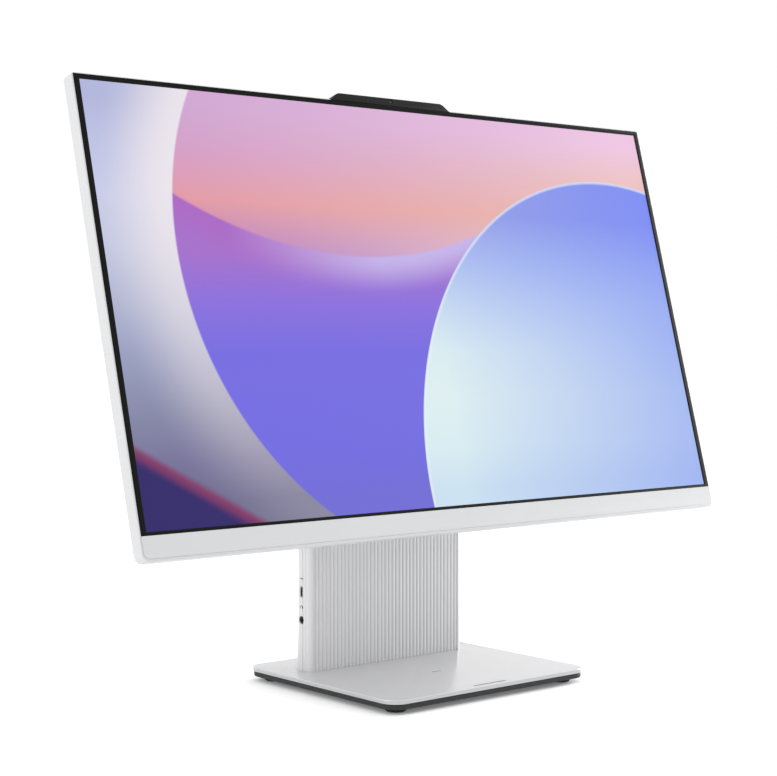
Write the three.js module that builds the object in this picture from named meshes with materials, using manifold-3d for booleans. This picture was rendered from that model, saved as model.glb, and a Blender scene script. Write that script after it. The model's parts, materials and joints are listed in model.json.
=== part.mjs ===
// An all-in-one desktop computer: a 27-inch display on a tilt hinge, carried by a ribbed column that
// holds the computer itself, on a flat rectangular base.
// Millimetres, +Z up. The origin is the centre of the footprint, on the surface that the base stands
// on. +X is the viewer's right, and the screen faces -Y. Heights are given from the level that the feet
// reach below, and the whole group is raised by that reach at the end.
import * as THREE from "three";
import { mergeVertices } from "three/addons/utils/BufferGeometryUtils.js";
import Module from "manifold-3d";

const wasm = await Module();
wasm.setup();

// ---- Driving dimensions -----------------------------------------------------------------------

const GAP = 0.3; // between fixed neighbours
const PAST = 1; // how far a cutting tool runs past the face that it cuts

// The display's own frame: X right, Y into the display from its front face, Z up the screen, with its
// origin at the centre of the lit area.
const SCREEN = { width: 597.9, height: 336.3, centreY: -12.5, centreZ: 311.3, tilt: 15.2 };
const BEZEL = { side: 4.85, top: 3.8, bottom: 2.25, face: 0.7, skirt: 0.9, depth: 7.5 };
const CHIN = { height: 16.3, wall: 1.6, radius: 5 };
const HOUSING = {
  front: 0.3,
  rimSide: 1.5,
  rimTop: 0.8,
  rimBottom: 2.3,
  edgeDepth: 13.5,
  fullDepth: 24.5,
  wall: 2.2,
  radius: 3,
  bulgeHalfWidth: 150,
  bulgeTop: 70,
  bulgeBottom: -115,
};
const PANEL = {
  inset: 1.2,
  glassFront: 1.0,
  glassBack: 2.4,
  guideFront: 2.8,
  guideBack: 5.6,
  trayBack: 6.9,
  trayWall: 0.8,
  ledHeight: 2,
};
const MID_FRAME = { front: 7.7, back: 8.7, inset: 3.5, window: { width: 150, height: 110, pitch: 195 } };
const CARRIER = { halfWidth: 55, foot: 18, sheet: 2, bottom: -86, top: 4, front: 9, back: 21.8 };
const SPEAKER = {
  inner: 130,
  outer: 250,
  bottom: -172,
  top: -152,
  front: 9,
  back: 13.2,
  radius: 2,
  coneX: 175,
  coneRadius: 6.4,
};
const DISPLAY_BOARD = {
  halfWidth: 62,
  bottom: -150,
  top: -112,
  front: 12,
  back: 13.6,
  partDepth: 1.8,
  chipX: [-37.2, 0, 37.2],
  chipHalf: 7,
  plug: { halfWidth: 22, low: 1, high: 5 },
};
const CAMERA = {
  footHalfWidth: 67,
  topHalfWidth: 56,
  top: 178.7,
  depth: 9.5,
  wall: 1.1,
  coverFront: 8.2,
  lensHeight: 175.9,
  lensHole: 1.4,
  pocketHalfWidth: 52,
  tongueHalfWidth: 45,
  tongueBottom: 160,
  tongueFront: 8,
  board: { front: 5.4, thickness: 1, halfWidth: 24 },
  barrelRadius: 1.2,
};
const SHUTTER = {
  restX: -6,
  halfWidth: 2.2,
  front: 1.7,
  back: 2.2,
  armTop: 174.1,
  knobBack: 11,
  knobRise: 1.5,
  travel: 6,
};

// The tilt hinge's axis in the display's frame, and its pieces along X.
const HINGE = {
  depth: 38.5,
  height: -40.6,
  shaftRadius: 4,
  boreRadius: 4.1,
  knuckleRadius: 8.2,
  barrelHalfWidth: 18,
  earInner: 26,
  earOuter: 32,
  shaftHead: 2.6,
  shaftHeadRadius: 6,
  shaftEnd: 1,
  nutThickness: 5,
  nutRadius: 6.8,
  discs: 4,
  discLip: 1,
  discClearance: 0.6,
};
const BRACKET = {
  halfWidth: 45,
  sheet: 3,
  below: 36,
  above: 34,
  screwX: 38,
  screwBelow: 28,
  screwAbove: 26,
  radius: 5,
};
const SCREW = { shank: 1.9, hole: 2.2, head: 3.6, headHeight: 2.2, drive: 1.6, driveDepth: 1.2 };

const COLUMN = {
  halfWidth: 84,
  front: 37,
  back: 54,
  top: 280,
  wall: 2.2,
  radius: 5.4,
  backRadius: 2,
  ribs: 40,
  ribDepth: 0.9,
  ribSteps: 4,
  sideRib: 4.2,
};
const REAR_BOX = {
  halfWidth: 60,
  back: 80,
  ioBack: 66,
  ioTop: 44,
  ioStep: 4,
  top: 258,
  slope: 22,
  topStep: 6,
  radius: 7,
  wall: 2.2,
};
const VENT = { count: 13, pitch: 7, width: 3, height: 46, centreZ: 180, radius: 1.35 };
const EXHAUST_DEPTH = 4;
const SPINE = { sheet: 2.4, halfWidth: 57, footDepth: 23.5, top: 246, gapToShell: 0.4 };
const COLUMN_BRACKET = { sheet: 3, halfWidth: 40, bottom: 200, top: 272, armHalfHeight: 8, screwX: 30, screwZ: 225 };
const NECK_COVER = { halfWidth: 23, halfHeight: 13.5, wall: 1.5, front: 25, radius: 4 };

const BOARD = { halfWidth: 76, front: 44.6, back: 46.2, bottom: 15, top: 196, notch: { reach: 15, half: 5 } };
const CHOKE = { count: 3, x: 32, firstZ: 112, pitch: 12, half: 4, height: 3.5 };
const SWITCH = { reach: 6, past: 1.5, half: 3, height: 2.5 };
const PORT_Y = 48.3;
const USB_C = {
  z: 74.7,
  height: 8.9,
  thickness: 3.1,
  depth: 10.5,
  shell: 0.4,
  floor: 1,
  tongue: { thickness: 0.8, inset: 1.6, recess: 1, root: 0.5 },
  opening: 0.3,
};
const JACK = { z: 51.4, radius: 3, bore: 1.8, boreDepth: 11, depth: 13, body: 3.1, opening: 3.3 };
const HEATSINK = { halfWidth: 22, bottom: 104, top: 148, back: 51, chipHalf: 14, chipBack: 47.8 };
// The heat pipe's route in X and Z, from the cold plate up beside the fan and along the fins.
const HEAT_PIPE = {
  radius: 1.5,
  flatten: 2.2,
  y: 52.9,
  steps: 28,
  route: [
    [4, 110],
    [8, 140],
    [27, 174],
    [31, 206],
    [23, 233.5],
    [0, 234.5],
    [-31, 234.5],
  ],
};
const FAN = {
  x: 0,
  z: 188,
  half: 38,
  radius: 8,
  outletRadius: 2,
  front: 56.2,
  back: 72,
  wall: 1.4,
  chamberGap: 3,
  inletInset: 6,
  rotor: 31,
  rotorGap: 0.8,
  hub: 12,
  blades: 17,
  blade: { thickness: 1.2, root: 2, shorter: 1.5 },
};
const FIN_STACK = { halfWidth: 37, bottom: 228, top: 241, pitch: 3, fin: 0.9, plate: 1 };
// Chips on a plug-in card, as shares of the card's height and of each chip's own pitch.
const CHIP = { low: 0.3, high: 0.85, half: 0.38 };
const MEMORY = { halfWidth: 33, gap: 4, bottom: 64, height: 28, front: 46.5, back: 50.6, board: 1.2 };
const SSD = { x: -58, width: 22, bottom: 106, height: 80, front: 46.5, back: 50, board: 0.9 };
const WIFI = { x: 54, width: 22, bottom: 150, height: 30, front: 46.5, back: 49.4, board: 0.9 };
const IO_PLATE = { front: 62.4, back: 63.4, halfWidth: 56, bottom: 14.5, top: 41, lap: 2 };
const POWER_BUTTON = { z: 180, radius: 3, proud: 0.9, flangeHalf: [3.2, 5.5], flangeThickness: 1.2 };

const BASE = { width: 213, depth: 190, radius: 17, top: 9.8 };
const PLATE = { thickness: 3.5, bevel: 0.5 };
const UNDERLAY = { inset: 0.8, bottom: 2, undercut: 3.2 };
const FOOT = { radius: 8.2, inset: 17, recess: 1, reach: 2 };
const BASE_SCREW = { x: 45, frontY: 46.5, backY: 58.5 };

const screenTilt = THREE.MathUtils.degToRad(SCREEN.tilt);
const bezelHalfWidth = SCREEN.width / 2 + BEZEL.side;
const bezelTop = SCREEN.height / 2 + BEZEL.top;
const bezelBottom = -SCREEN.height / 2 - BEZEL.bottom;
const chinTop = bezelBottom - GAP;
const chinBottom = chinTop - CHIN.height;
const housingHalfWidth = bezelHalfWidth + HOUSING.rimSide;
const housingTop = bezelTop + HOUSING.rimTop;
const housingBottom = chinBottom - HOUSING.rimBottom;
const hingeY = SCREEN.centreY + HINGE.depth * Math.cos(screenTilt) + HINGE.height * Math.sin(screenTilt);
const hingeZ = SCREEN.centreZ - HINGE.depth * Math.sin(screenTilt) + HINGE.height * Math.cos(screenTilt);
const plateBottom = BASE.top - PLATE.thickness;
const columnBottom = BASE.top + GAP;
const spineFront = COLUMN.front + COLUMN.wall + SPINE.gapToShell;
const spineBack = spineFront + SPINE.sheet;

// ---- Solids -----------------------------------------------------------------------------------

function solidOf(geometry) {
  const bare = geometry.clone();
  bare.deleteAttribute("normal");
  bare.deleteAttribute("uv");
  const merged = mergeVertices(bare, 1e-4);
  const mesh = new wasm.Mesh({
    numProp: 3,
    vertProperties: merged.attributes.position.array,
    triVerts: new Uint32Array(merged.index.array),
  });
  return new wasm.Manifold(mesh);
}

function geometryOf(solid) {
  const mesh = solid.getMesh();
  const geometry = new THREE.BufferGeometry();
  geometry.setAttribute("position", new THREE.BufferAttribute(mesh.vertProperties, 3));
  geometry.setIndex(new THREE.BufferAttribute(mesh.triVerts, 1));
  return geometry;
}

function cut(body, ...tools) {
  const less = tools.reduce((left, tool) => left.subtract(solidOf(tool)), solidOf(body));
  return geometryOf(less);
}

function join(...bodies) {
  const [first, ...others] = bodies.map(solidOf);
  return geometryOf(others.reduce((whole, other) => whole.add(other), first));
}

function common(...bodies) {
  const [first, ...others] = bodies.map(solidOf);
  return geometryOf(others.reduce((whole, other) => whole.intersect(other), first));
}

// A box between its low and high corners.
function block([x0, y0, z0], [x1, y1, z1]) {
  const box = new THREE.BoxGeometry(x1 - x0, y1 - y0, z1 - z0);
  return box.translate((x0 + x1) / 2, (y0 + y1) / 2, (z0 + z1) / 2);
}

// A cylinder from low to high along an axis; centre gives the other two coordinates in X, Y, Z order.
function cylinder(axis, radius, [low, high], [first, second], sides = 24) {
  const round = new THREE.CylinderGeometry(radius, radius, high - low, sides);
  const middle = (low + high) / 2;
  if (axis === "x") return round.rotateZ(-Math.PI / 2).translate(middle, first, second);
  if (axis === "y") return round.translate(first, middle, second);
  return round.rotateX(Math.PI / 2).translate(first, second, middle);
}

function polygon(points) {
  return new THREE.Shape(points.map(([a, b]) => new THREE.Vector2(a, b)));
}

function extrude(shape, depth, steps = 3) {
  return new THREE.ExtrudeGeometry(shape, { depth, bevelEnabled: false, curveSegments: steps });
}

// Extrusions between two places along an axis. The shape's own axes are the other two, in X, Y, Z order.
function alongX(shape, [low, high]) {
  return extrude(shape, high - low).rotateX(Math.PI / 2).rotateZ(Math.PI / 2).translate(low, 0, 0);
}

function alongY(shape, [low, high]) {
  return extrude(shape, high - low).rotateX(Math.PI / 2).translate(0, high, 0);
}

function alongZ(shape, [low, high]) {
  return extrude(shape, high - low).translate(0, 0, low);
}

// A rectangle with one radius for its two lower corners and one for its two upper ones.
function roundedRectangle([left, right], [bottom, top], lower, upper = lower) {
  const shape = new THREE.Shape();
  shape.moveTo(left + lower, bottom);
  shape.lineTo(right - lower, bottom);
  shape.absarc(right - lower, bottom + lower, lower, -Math.PI / 2, 0);
  shape.lineTo(right, top - upper);
  shape.absarc(right - upper, top - upper, upper, 0, Math.PI / 2);
  shape.lineTo(left + upper, top);
  shape.absarc(left + upper, top - upper, upper, Math.PI / 2, Math.PI);
  shape.lineTo(left, bottom + lower);
  shape.absarc(left + lower, bottom + lower, lower, Math.PI, 1.5 * Math.PI);
  return shape;
}

function mirrored(half) {
  return [-half, half];
}

// ---- Named pieces -----------------------------------------------------------------------------

const computer = new THREE.Group();
const display = new THREE.Group();
display.position.set(0, SCREEN.centreY, SCREEN.centreZ);
display.rotation.x = -screenTilt;
computer.add(display);

const FINISHES = {
  black: { color: 0x1b1b1b, roughness: 0.4, metalness: 0 },
  charcoal: { color: 0x3a3a3d, roughness: 0.55, metalness: 0 },
  cloud: { color: 0xdcdedf, roughness: 0.45, metalness: 0 },
  silver: { color: 0xcfcfd1, roughness: 0.4, metalness: 0.2 },
  screen: { color: 0x6a6ae0, roughness: 0.2, metalness: 0 },
  acrylic: { color: 0xe8eef0, roughness: 0.1, metalness: 0 },
  steel: { color: 0xa8abae, roughness: 0.35, metalness: 0.9 },
  aluminium: { color: 0xc2c5c8, roughness: 0.4, metalness: 0.9 },
  copper: { color: 0xb87348, roughness: 0.3, metalness: 1 },
  board: { color: 0x1f5a3c, roughness: 0.5, metalness: 0 },
  rubber: { color: 0x202022, roughness: 0.9, metalness: 0 },
};

function addPiece(group, name, finish, geometry) {
  const piece = new THREE.Mesh(geometry, new THREE.MeshStandardMaterial(FINISHES[finish]));
  piece.name = name;
  group.add(piece);
}

// ---- Screws, shared by the hinge and the base -------------------------------------------------

// A pan-head screw along an axis. The shank runs from tip to head, and the head lies beyond it.
function screw(axis, [tip, head], centre) {
  const outward = Math.sign(head - tip);
  const span = (from, to) => (from < to ? [from, to] : [to, from]);
  const end = head + outward * SCREW.headHeight;
  const drive = cylinder(axis, SCREW.drive, span(end - outward * SCREW.driveDepth, end + outward), centre, 6);
  const shank = cylinder(axis, SCREW.shank, span(tip, head + (outward * SCREW.headHeight) / 2), centre, 8);
  return cut(join(shank, cylinder(axis, SCREW.head, span(head, end), centre, 14)), drive);
}

// ---- Display front: bezel, chin and the lit panel ---------------------------------------------

function frontBezel() {
  const outer = block([-bezelHalfWidth, 0, bezelBottom], [bezelHalfWidth, BEZEL.depth, bezelTop]);
  const pocketHalfWidth = bezelHalfWidth - BEZEL.skirt;
  const pocket = block(
    [-pocketHalfWidth, BEZEL.face, bezelBottom + BEZEL.skirt],
    [pocketHalfWidth, BEZEL.depth + PAST, bezelTop - BEZEL.skirt],
  );
  const view = block(
    [-SCREEN.width / 2, -PAST, -SCREEN.height / 2],
    [SCREEN.width / 2, BEZEL.depth, SCREEN.height / 2],
  );
  return cut(outer, pocket, view);
}

function chinCover() {
  const { wall, radius } = CHIN;
  const face = roundedRectangle(mirrored(bezelHalfWidth), [chinBottom, chinTop], radius, GAP);
  const hollow = roundedRectangle(
    mirrored(bezelHalfWidth - wall),
    [chinBottom + wall, chinTop - wall],
    radius - wall,
    GAP,
  );
  return cut(alongY(face, [0, BEZEL.depth]), alongY(hollow, [wall, BEZEL.depth + PAST]));
}

// A flat layer of the panel that lies inside the bezel's skirt.
function panelLayer(inset, front, back) {
  const halfWidth = bezelHalfWidth - inset;
  return block([-halfWidth, front, bezelBottom + inset], [halfWidth, back, bezelTop - inset]);
}

function backlightTray() {
  const outer = panelLayer(PANEL.inset, PANEL.guideFront, PANEL.trayBack);
  return cut(outer, panelLayer(PANEL.inset + PANEL.trayWall, 0, PANEL.guideBack + GAP));
}

const guideInset = PANEL.inset + PANEL.trayWall + GAP;

function lightGuide() {
  const halfWidth = bezelHalfWidth - guideInset;
  const bottom = bezelBottom + guideInset + PANEL.ledHeight + GAP;
  return block([-halfWidth, PANEL.guideFront, bottom], [halfWidth, PANEL.guideBack, bezelTop - guideInset]);
}

function ledStrip() {
  const halfWidth = bezelHalfWidth - guideInset;
  const bottom = bezelBottom + guideInset;
  return block([-halfWidth, PANEL.guideFront, bottom], [halfWidth, PANEL.guideBack, bottom + PANEL.ledHeight]);
}

function midFrame() {
  const halfWidth = bezelHalfWidth - MID_FRAME.inset;
  const span = [MID_FRAME.front, MID_FRAME.back];
  const sheet = roundedRectangle(
    mirrored(halfWidth),
    [chinBottom + MID_FRAME.inset, CAMERA.tongueBottom - 2 * GAP],
    MID_FRAME.inset,
  );
  const { width, height, pitch } = MID_FRAME.window;
  for (const x of [-pitch, pitch]) {
    const opening = roundedRectangle([x - width / 2, x + width / 2], mirrored(height / 2), MID_FRAME.inset * 2);
    sheet.holes.push(opening);
  }
  return alongY(sheet, span);
}

addPiece(display, "front_bezel", "black", frontBezel());
addPiece(display, "chin_cover", "cloud", chinCover());
addPiece(display, "lcd_panel", "screen", panelLayer(PANEL.inset, PANEL.glassFront, PANEL.glassBack));
addPiece(display, "light_guide", "acrylic", lightGuide());
addPiece(display, "led_strip", "aluminium", ledStrip());
addPiece(display, "backlight_tray", "steel", backlightTray());
addPiece(display, "mid_frame", "steel", midFrame());

// ---- Display back: the rear cover and what it holds -------------------------------------------

// The housing's outer form less an inset all round: straight sides, then a shallow pyramid behind.
function housingForm(inset, front) {
  const halfWidth = housingHalfWidth - inset;
  const top = housingTop - inset;
  const bottom = housingBottom + inset;
  const edge = HOUSING.edgeDepth - inset;
  const full = HOUSING.fullDepth - inset;
  const { bulgeHalfWidth, bulgeTop, bulgeBottom, radius } = HOUSING;
  const side = polygon([
    [front, bottom],
    [edge, bottom],
    [full, bulgeBottom],
    [full, bulgeTop],
    [edge, top],
    [front, top],
  ]);
  const plan = polygon([
    [-halfWidth, front],
    [halfWidth, front],
    [halfWidth, edge],
    [bulgeHalfWidth, full],
    [-bulgeHalfWidth, full],
    [-halfWidth, edge],
  ]);
  const corner = Math.max(radius - inset, GAP);
  const lowerCorner = CHIN.radius + HOUSING.rimSide - inset;
  const face = roundedRectangle(mirrored(halfWidth), [bottom, top], lowerCorner, corner);
  return common(
    alongX(side, mirrored(halfWidth + PAST)),
    alongZ(plan, [bottom - PAST, top + PAST]),
    alongY(face, [front - PAST, full + PAST]),
  );
}

function bracketScrewPlaces() {
  const heights = [HINGE.height - BRACKET.screwBelow, HINGE.height + BRACKET.screwAbove];
  return heights.flatMap((height) => mirrored(BRACKET.screwX).map((x) => [x, height]));
}

function rearCover() {
  const rebate = roundedRectangle(
    mirrored(bezelHalfWidth + GAP / 2),
    [chinBottom - GAP, bezelTop + GAP / 2],
    CHIN.radius,
    GAP,
  );
  const cameraNotch = block(
    [-CAMERA.footHalfWidth - GAP, -PAST, housingTop - HOUSING.wall - PAST],
    [CAMERA.footHalfWidth + GAP, CAMERA.depth + GAP, housingTop + PAST],
  );
  const screwHoles = bracketScrewPlaces().map((place) =>
    cylinder("y", SCREW.hole, [HOUSING.edgeDepth, HOUSING.fullDepth + PAST], place, 12),
  );
  return cut(
    housingForm(0, HOUSING.front),
    alongY(rebate, [-PAST, BEZEL.depth + GAP]),
    housingForm(HOUSING.wall, BEZEL.depth),
    cameraNotch,
    ...screwHoles,
  );
}

// A hat-section steel carrier that takes the hinge's screws and stands on the mid frame.
function hingeCarrier() {
  const { halfWidth, foot, sheet, bottom, top, front, back } = CARRIER;
  const section = polygon([
    [-halfWidth - foot, front],
    [-halfWidth, front],
    [-halfWidth, back - sheet],
    [halfWidth, back - sheet],
    [halfWidth, front],
    [halfWidth + foot, front],
    [halfWidth + foot, front + sheet],
    [halfWidth + sheet, front + sheet],
    [halfWidth + sheet, back],
    [-halfWidth - sheet, back],
    [-halfWidth - sheet, front + sheet],
    [-halfWidth - foot, front + sheet],
  ]);
  const holes = bracketScrewPlaces().map((place) => cylinder("y", SCREW.hole, [front, back + PAST], place, 12));
  return cut(alongZ(section, [bottom, top]), ...holes);
}

function speaker(side) {
  const { inner, outer, bottom, top, front, back } = SPEAKER;
  const ends = [side * inner, side * outer].sort((a, b) => a - b);
  const box = alongY(roundedRectangle(ends, [bottom, top], SPEAKER.radius), [front, back]);
  const centre = [side * SPEAKER.coneX, (bottom + top) / 2];
  const cone = cylinder("y", SPEAKER.coneRadius, [back - GAP, back + PAST], centre);
  return cut(box, cone);
}

function displayBoard() {
  const { halfWidth, bottom, top, front, back, partDepth, chipX, chipHalf, plug } = DISPLAY_BOARD;
  const middle = (bottom + top) / 2;
  const sheet = block([-halfWidth, front, bottom], [halfWidth, back, top]);
  const chips = chipX.map((x) =>
    block([x - chipHalf, back - GAP, middle - chipHalf], [x + chipHalf, back + partDepth, middle + chipHalf]),
  );
  const connector = block(
    [-plug.halfWidth, back - GAP, bottom + plug.low],
    [plug.halfWidth, back + partDepth, bottom + plug.high],
  );
  return join(sheet, ...chips, connector);
}

addPiece(display, "rear_cover", "cloud", rearCover());
addPiece(display, "hinge_carrier", "steel", hingeCarrier());
addPiece(display, "speaker_left", "black", speaker(-1));
addPiece(display, "speaker_right", "black", speaker(1));
addPiece(display, "display_board", "board", displayBoard());

// ---- Camera bar on the display's top edge -----------------------------------------------------

const cameraFoot = bezelTop + GAP;
const cameraFloor = cameraFoot + CAMERA.wall;
const cameraCeiling = CAMERA.top - CAMERA.wall;

function cameraOutline() {
  return polygon([
    [-CAMERA.footHalfWidth, cameraFoot],
    [CAMERA.footHalfWidth, cameraFoot],
    [CAMERA.topHalfWidth, CAMERA.top],
    [-CAMERA.topHalfWidth, CAMERA.top],
  ]);
}

function cameraHousing() {
  const pocket = block(
    [-CAMERA.pocketHalfWidth, CAMERA.wall, cameraFloor],
    [CAMERA.pocketHalfWidth, CAMERA.depth, cameraCeiling],
  );
  const lensHole = cylinder("y", CAMERA.lensHole, [-PAST, CAMERA.wall + PAST], [0, CAMERA.lensHeight], 20);
  const shell = alongY(cameraOutline(), [0, CAMERA.coverFront - GAP]);
  return cut(shell, pocket, lensHole);
}

// The bar's back, with the tongue that drops behind the bezel and the slot that the shutter's arm uses.
function cameraBackCover() {
  const { coverFront, depth, tongueHalfWidth, tongueBottom, tongueFront } = CAMERA;
  const plate = alongY(cameraOutline(), [coverFront, depth]);
  const tongue = block([-tongueHalfWidth, tongueFront, tongueBottom], [tongueHalfWidth, depth, cameraFoot + PAST]);
  const slot = block(
    [SHUTTER.restX - SHUTTER.halfWidth - GAP, tongueFront - PAST, cameraFloor],
    [SHUTTER.restX + SHUTTER.travel + SHUTTER.halfWidth + GAP, depth + PAST, SHUTTER.armTop + GAP],
  );
  return cut(join(plate, tongue), slot);
}

function cameraModule() {
  const { front, thickness, halfWidth } = CAMERA.board;
  const board = block(
    [-halfWidth, front, SHUTTER.armTop + 2 * GAP],
    [halfWidth, front + thickness, cameraCeiling - GAP],
  );
  const lensSpan = [SHUTTER.back + GAP, front + GAP];
  return join(board, cylinder("y", CAMERA.barrelRadius, lensSpan, [0, CAMERA.lensHeight], 20));
}

// A blade that covers the lens when it slides to the right, on an arm that ends in a knob behind the bar.
// At rest it stands beside the lens.
function cameraShutter() {
  const { restX, halfWidth, front, back, armTop, knobBack, knobRise } = SHUTTER;
  const left = restX - halfWidth;
  const right = restX + halfWidth;
  const armBottom = cameraFloor + GAP / 2;
  const blade = block([left, front, armBottom], [right, back, cameraCeiling - GAP]);
  const arm = block([left, front, armBottom], [right, knobBack, armTop]);
  const knob = block([left, CAMERA.depth + GAP, armBottom], [right, knobBack, armTop + knobRise]);
  return join(blade, arm, knob);
}

addPiece(display, "camera_housing", "charcoal", cameraHousing());
addPiece(display, "camera_back_cover", "charcoal", cameraBackCover());
addPiece(display, "camera_module", "board", cameraModule());
addPiece(display, "camera_shutter", "black", cameraShutter());

// ---- Tilt hinge: the display's half and the shaft ---------------------------------------------

function displayBracket() {
  const { halfWidth, sheet, below, above } = BRACKET;
  const front = HOUSING.fullDepth + GAP;
  const back = front + sheet;
  const bottom = HINGE.height - below;
  const top = HINGE.height + above;
  const plate = alongY(roundedRectangle(mirrored(halfWidth), [bottom, top], BRACKET.radius), [front, back]);
  const parts = [plate];
  for (const side of [-1, 1]) {
    const ends = [side * HINGE.earInner, side * HINGE.earOuter].sort((a, b) => a - b);
    const radius = HINGE.knuckleRadius;
    parts.push(block([ends[0], back - PAST, HINGE.height - radius], [ends[1], HINGE.depth, HINGE.height + radius]));
    parts.push(cylinder("x", radius, ends, [HINGE.depth, HINGE.height]));
  }
  const bore = cylinder("x", HINGE.boreRadius, mirrored(halfWidth), [HINGE.depth, HINGE.height], 32);
  const holes = bracketScrewPlaces().map((place) => cylinder("y", SCREW.hole, [front - PAST, back + PAST], place, 12));
  return cut(join(...parts), bore, ...holes);
}

const springWidth = HINGE.earInner - HINGE.barrelHalfWidth;

// A stack of disc springs that gives the hinge its friction: its outline zigzags between two radii.
function discSprings(side) {
  const { barrelHalfWidth, boreRadius, knuckleRadius, discs, discLip, discClearance } = HINGE;
  const outer = knuckleRadius - discClearance;
  const step = (springWidth - 2 * GAP) / (2 * discs);
  const start = barrelHalfWidth + GAP;
  const profile = [new THREE.Vector2(boreRadius + GAP, start)];
  for (let i = 0; i <= 2 * discs; i += 1) {
    profile.push(new THREE.Vector2(i % 2 === 0 ? outer - discLip : outer, start + i * step));
  }
  profile.push(new THREE.Vector2(boreRadius + GAP, start + 2 * discs * step));
  profile.push(profile[0].clone());
  const stack = new THREE.LatheGeometry(profile, 16).rotateZ(-Math.PI / 2);
  if (side < 0) stack.rotateY(Math.PI);
  return stack.translate(0, HINGE.depth, HINGE.height);
}

function hingeShaft() {
  const { shaftRadius, earOuter, shaftHead, shaftHeadRadius, shaftEnd, nutThickness } = HINGE;
  const centre = [HINGE.depth, HINGE.height];
  const end = earOuter + GAP + nutThickness + shaftEnd;
  const rod = cylinder("x", shaftRadius, [-earOuter - GAP - shaftEnd, end], centre, 32);
  return join(rod, cylinder("x", shaftHeadRadius, [-earOuter - GAP - shaftHead, -earOuter - GAP], centre, 32));
}

function hingeNut() {
  const { earOuter, nutThickness, nutRadius, boreRadius } = HINGE;
  const centre = [HINGE.depth, HINGE.height];
  const span = [earOuter + GAP, earOuter + GAP + nutThickness];
  const bore = cylinder("x", boreRadius, [span[0] - PAST, span[1] + PAST], centre, 32);
  return cut(cylinder("x", nutRadius, span, centre, 6), bore);
}

addPiece(display, "hinge_bracket_display", "steel", displayBracket());
addPiece(display, "hinge_shaft", "steel", hingeShaft());
addPiece(display, "hinge_nut", "steel", hingeNut());
addPiece(display, "disc_springs_left", "steel", discSprings(-1));
addPiece(display, "disc_springs_right", "steel", discSprings(1));
bracketScrewPlaces().forEach((place, index) => {
  const head = HOUSING.fullDepth + 2 * GAP + BRACKET.sheet;
  addPiece(display, `bracket_screw_${index + 1}`, "steel", screw("y", [CARRIER.front + PAST, head], place));
});

// ---- Tilt hinge: the column's half ------------------------------------------------------------

function columnBracket() {
  const { sheet, halfWidth, bottom, top, armHalfHeight } = COLUMN_BRACKET;
  const front = spineBack + GAP;
  const flange = block([-halfWidth, front, bottom], [halfWidth, front + sheet, top]);
  const half = HINGE.barrelHalfWidth;
  const arm = block([-half, hingeY, hingeZ - armHalfHeight], [half, front + PAST, hingeZ + armHalfHeight]);
  const barrel = cylinder("x", HINGE.knuckleRadius, mirrored(half), [hingeY, hingeZ]);
  const bore = cylinder("x", HINGE.boreRadius, mirrored(half + PAST), [hingeY, hingeZ], 32);
  const holes = mirrored(COLUMN_BRACKET.screwX).map((x) =>
    cylinder("y", SCREW.hole, [front - PAST, front + sheet + PAST], [x, COLUMN_BRACKET.screwZ], 16),
  );
  return cut(join(flange, arm, barrel), bore, ...holes);
}

function neckCover() {
  const { halfWidth, halfHeight, wall, front, radius } = NECK_COVER;
  const back = COLUMN.front - GAP;
  const heights = [hingeZ - halfHeight, hingeZ + halfHeight];
  const outer = alongY(roundedRectangle(mirrored(halfWidth), heights, radius), [front, back]);
  const inner = roundedRectangle(mirrored(halfWidth - wall), [heights[0] + wall, heights[1] - wall], radius - wall);
  return cut(outer, alongY(inner, [front - PAST, back + PAST]));
}

addPiece(computer, "hinge_bracket_column", "steel", columnBracket());
addPiece(computer, "neck_cover", "charcoal", neckCover());
mirrored(COLUMN_BRACKET.screwX).forEach((x, index) => {
  const head = spineBack + 2 * GAP + COLUMN_BRACKET.sheet;
  const piece = screw("y", [spineFront + GAP, head], [x, COLUMN_BRACKET.screwZ]);
  addPiece(computer, `hinge_screw_${index + 1}`, "steel", piece);
});

// ---- Column: ribbed front shell and rear cover ------------------------------------------------

// Plan outline: half-round ribs across the front, smooth round corners, one rib on each side, then
// flat sides that round into the back.
function columnOutline() {
  const { halfWidth, front, back, radius, backRadius, ribs, ribDepth, ribSteps, sideRib } = COLUMN;
  const flat = halfWidth - radius;
  const pitch = (2 * flat) / ribs;
  const shape = new THREE.Shape();
  shape.moveTo(-flat, front);
  for (let step = 1; step <= ribs * ribSteps; step += 1) {
    const groove = 1 - Math.abs(Math.sin((Math.PI * step) / ribSteps));
    shape.lineTo(-flat + (step * pitch) / ribSteps, front + ribDepth * groove);
  }
  const sideStart = front + radius;
  shape.absarc(flat, sideStart, radius, -Math.PI / 2, 0);
  shape.lineTo(halfWidth - ribDepth / 2, sideStart + GAP);
  shape.lineTo(halfWidth, sideStart + sideRib / 3);
  shape.lineTo(halfWidth, sideStart + (sideRib * 2) / 3);
  shape.lineTo(halfWidth - ribDepth / 2, sideStart + sideRib);
  shape.lineTo(halfWidth, sideStart + sideRib + GAP);
  shape.lineTo(halfWidth, back - backRadius);
  shape.absarc(halfWidth - backRadius, back - backRadius, backRadius, 0, Math.PI / 2);
  shape.lineTo(-halfWidth + backRadius, back);
  shape.absarc(-halfWidth + backRadius, back - backRadius, backRadius, Math.PI / 2, Math.PI);
  shape.lineTo(-halfWidth, sideStart + sideRib + GAP);
  shape.lineTo(-halfWidth + ribDepth / 2, sideStart + sideRib);
  shape.lineTo(-halfWidth, sideStart + (sideRib * 2) / 3);
  shape.lineTo(-halfWidth, sideStart + sideRib / 3);
  shape.lineTo(-halfWidth + ribDepth / 2, sideStart + GAP);
  shape.absarc(-flat, sideStart, radius, Math.PI, 1.5 * Math.PI);
  return shape;
}

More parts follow.
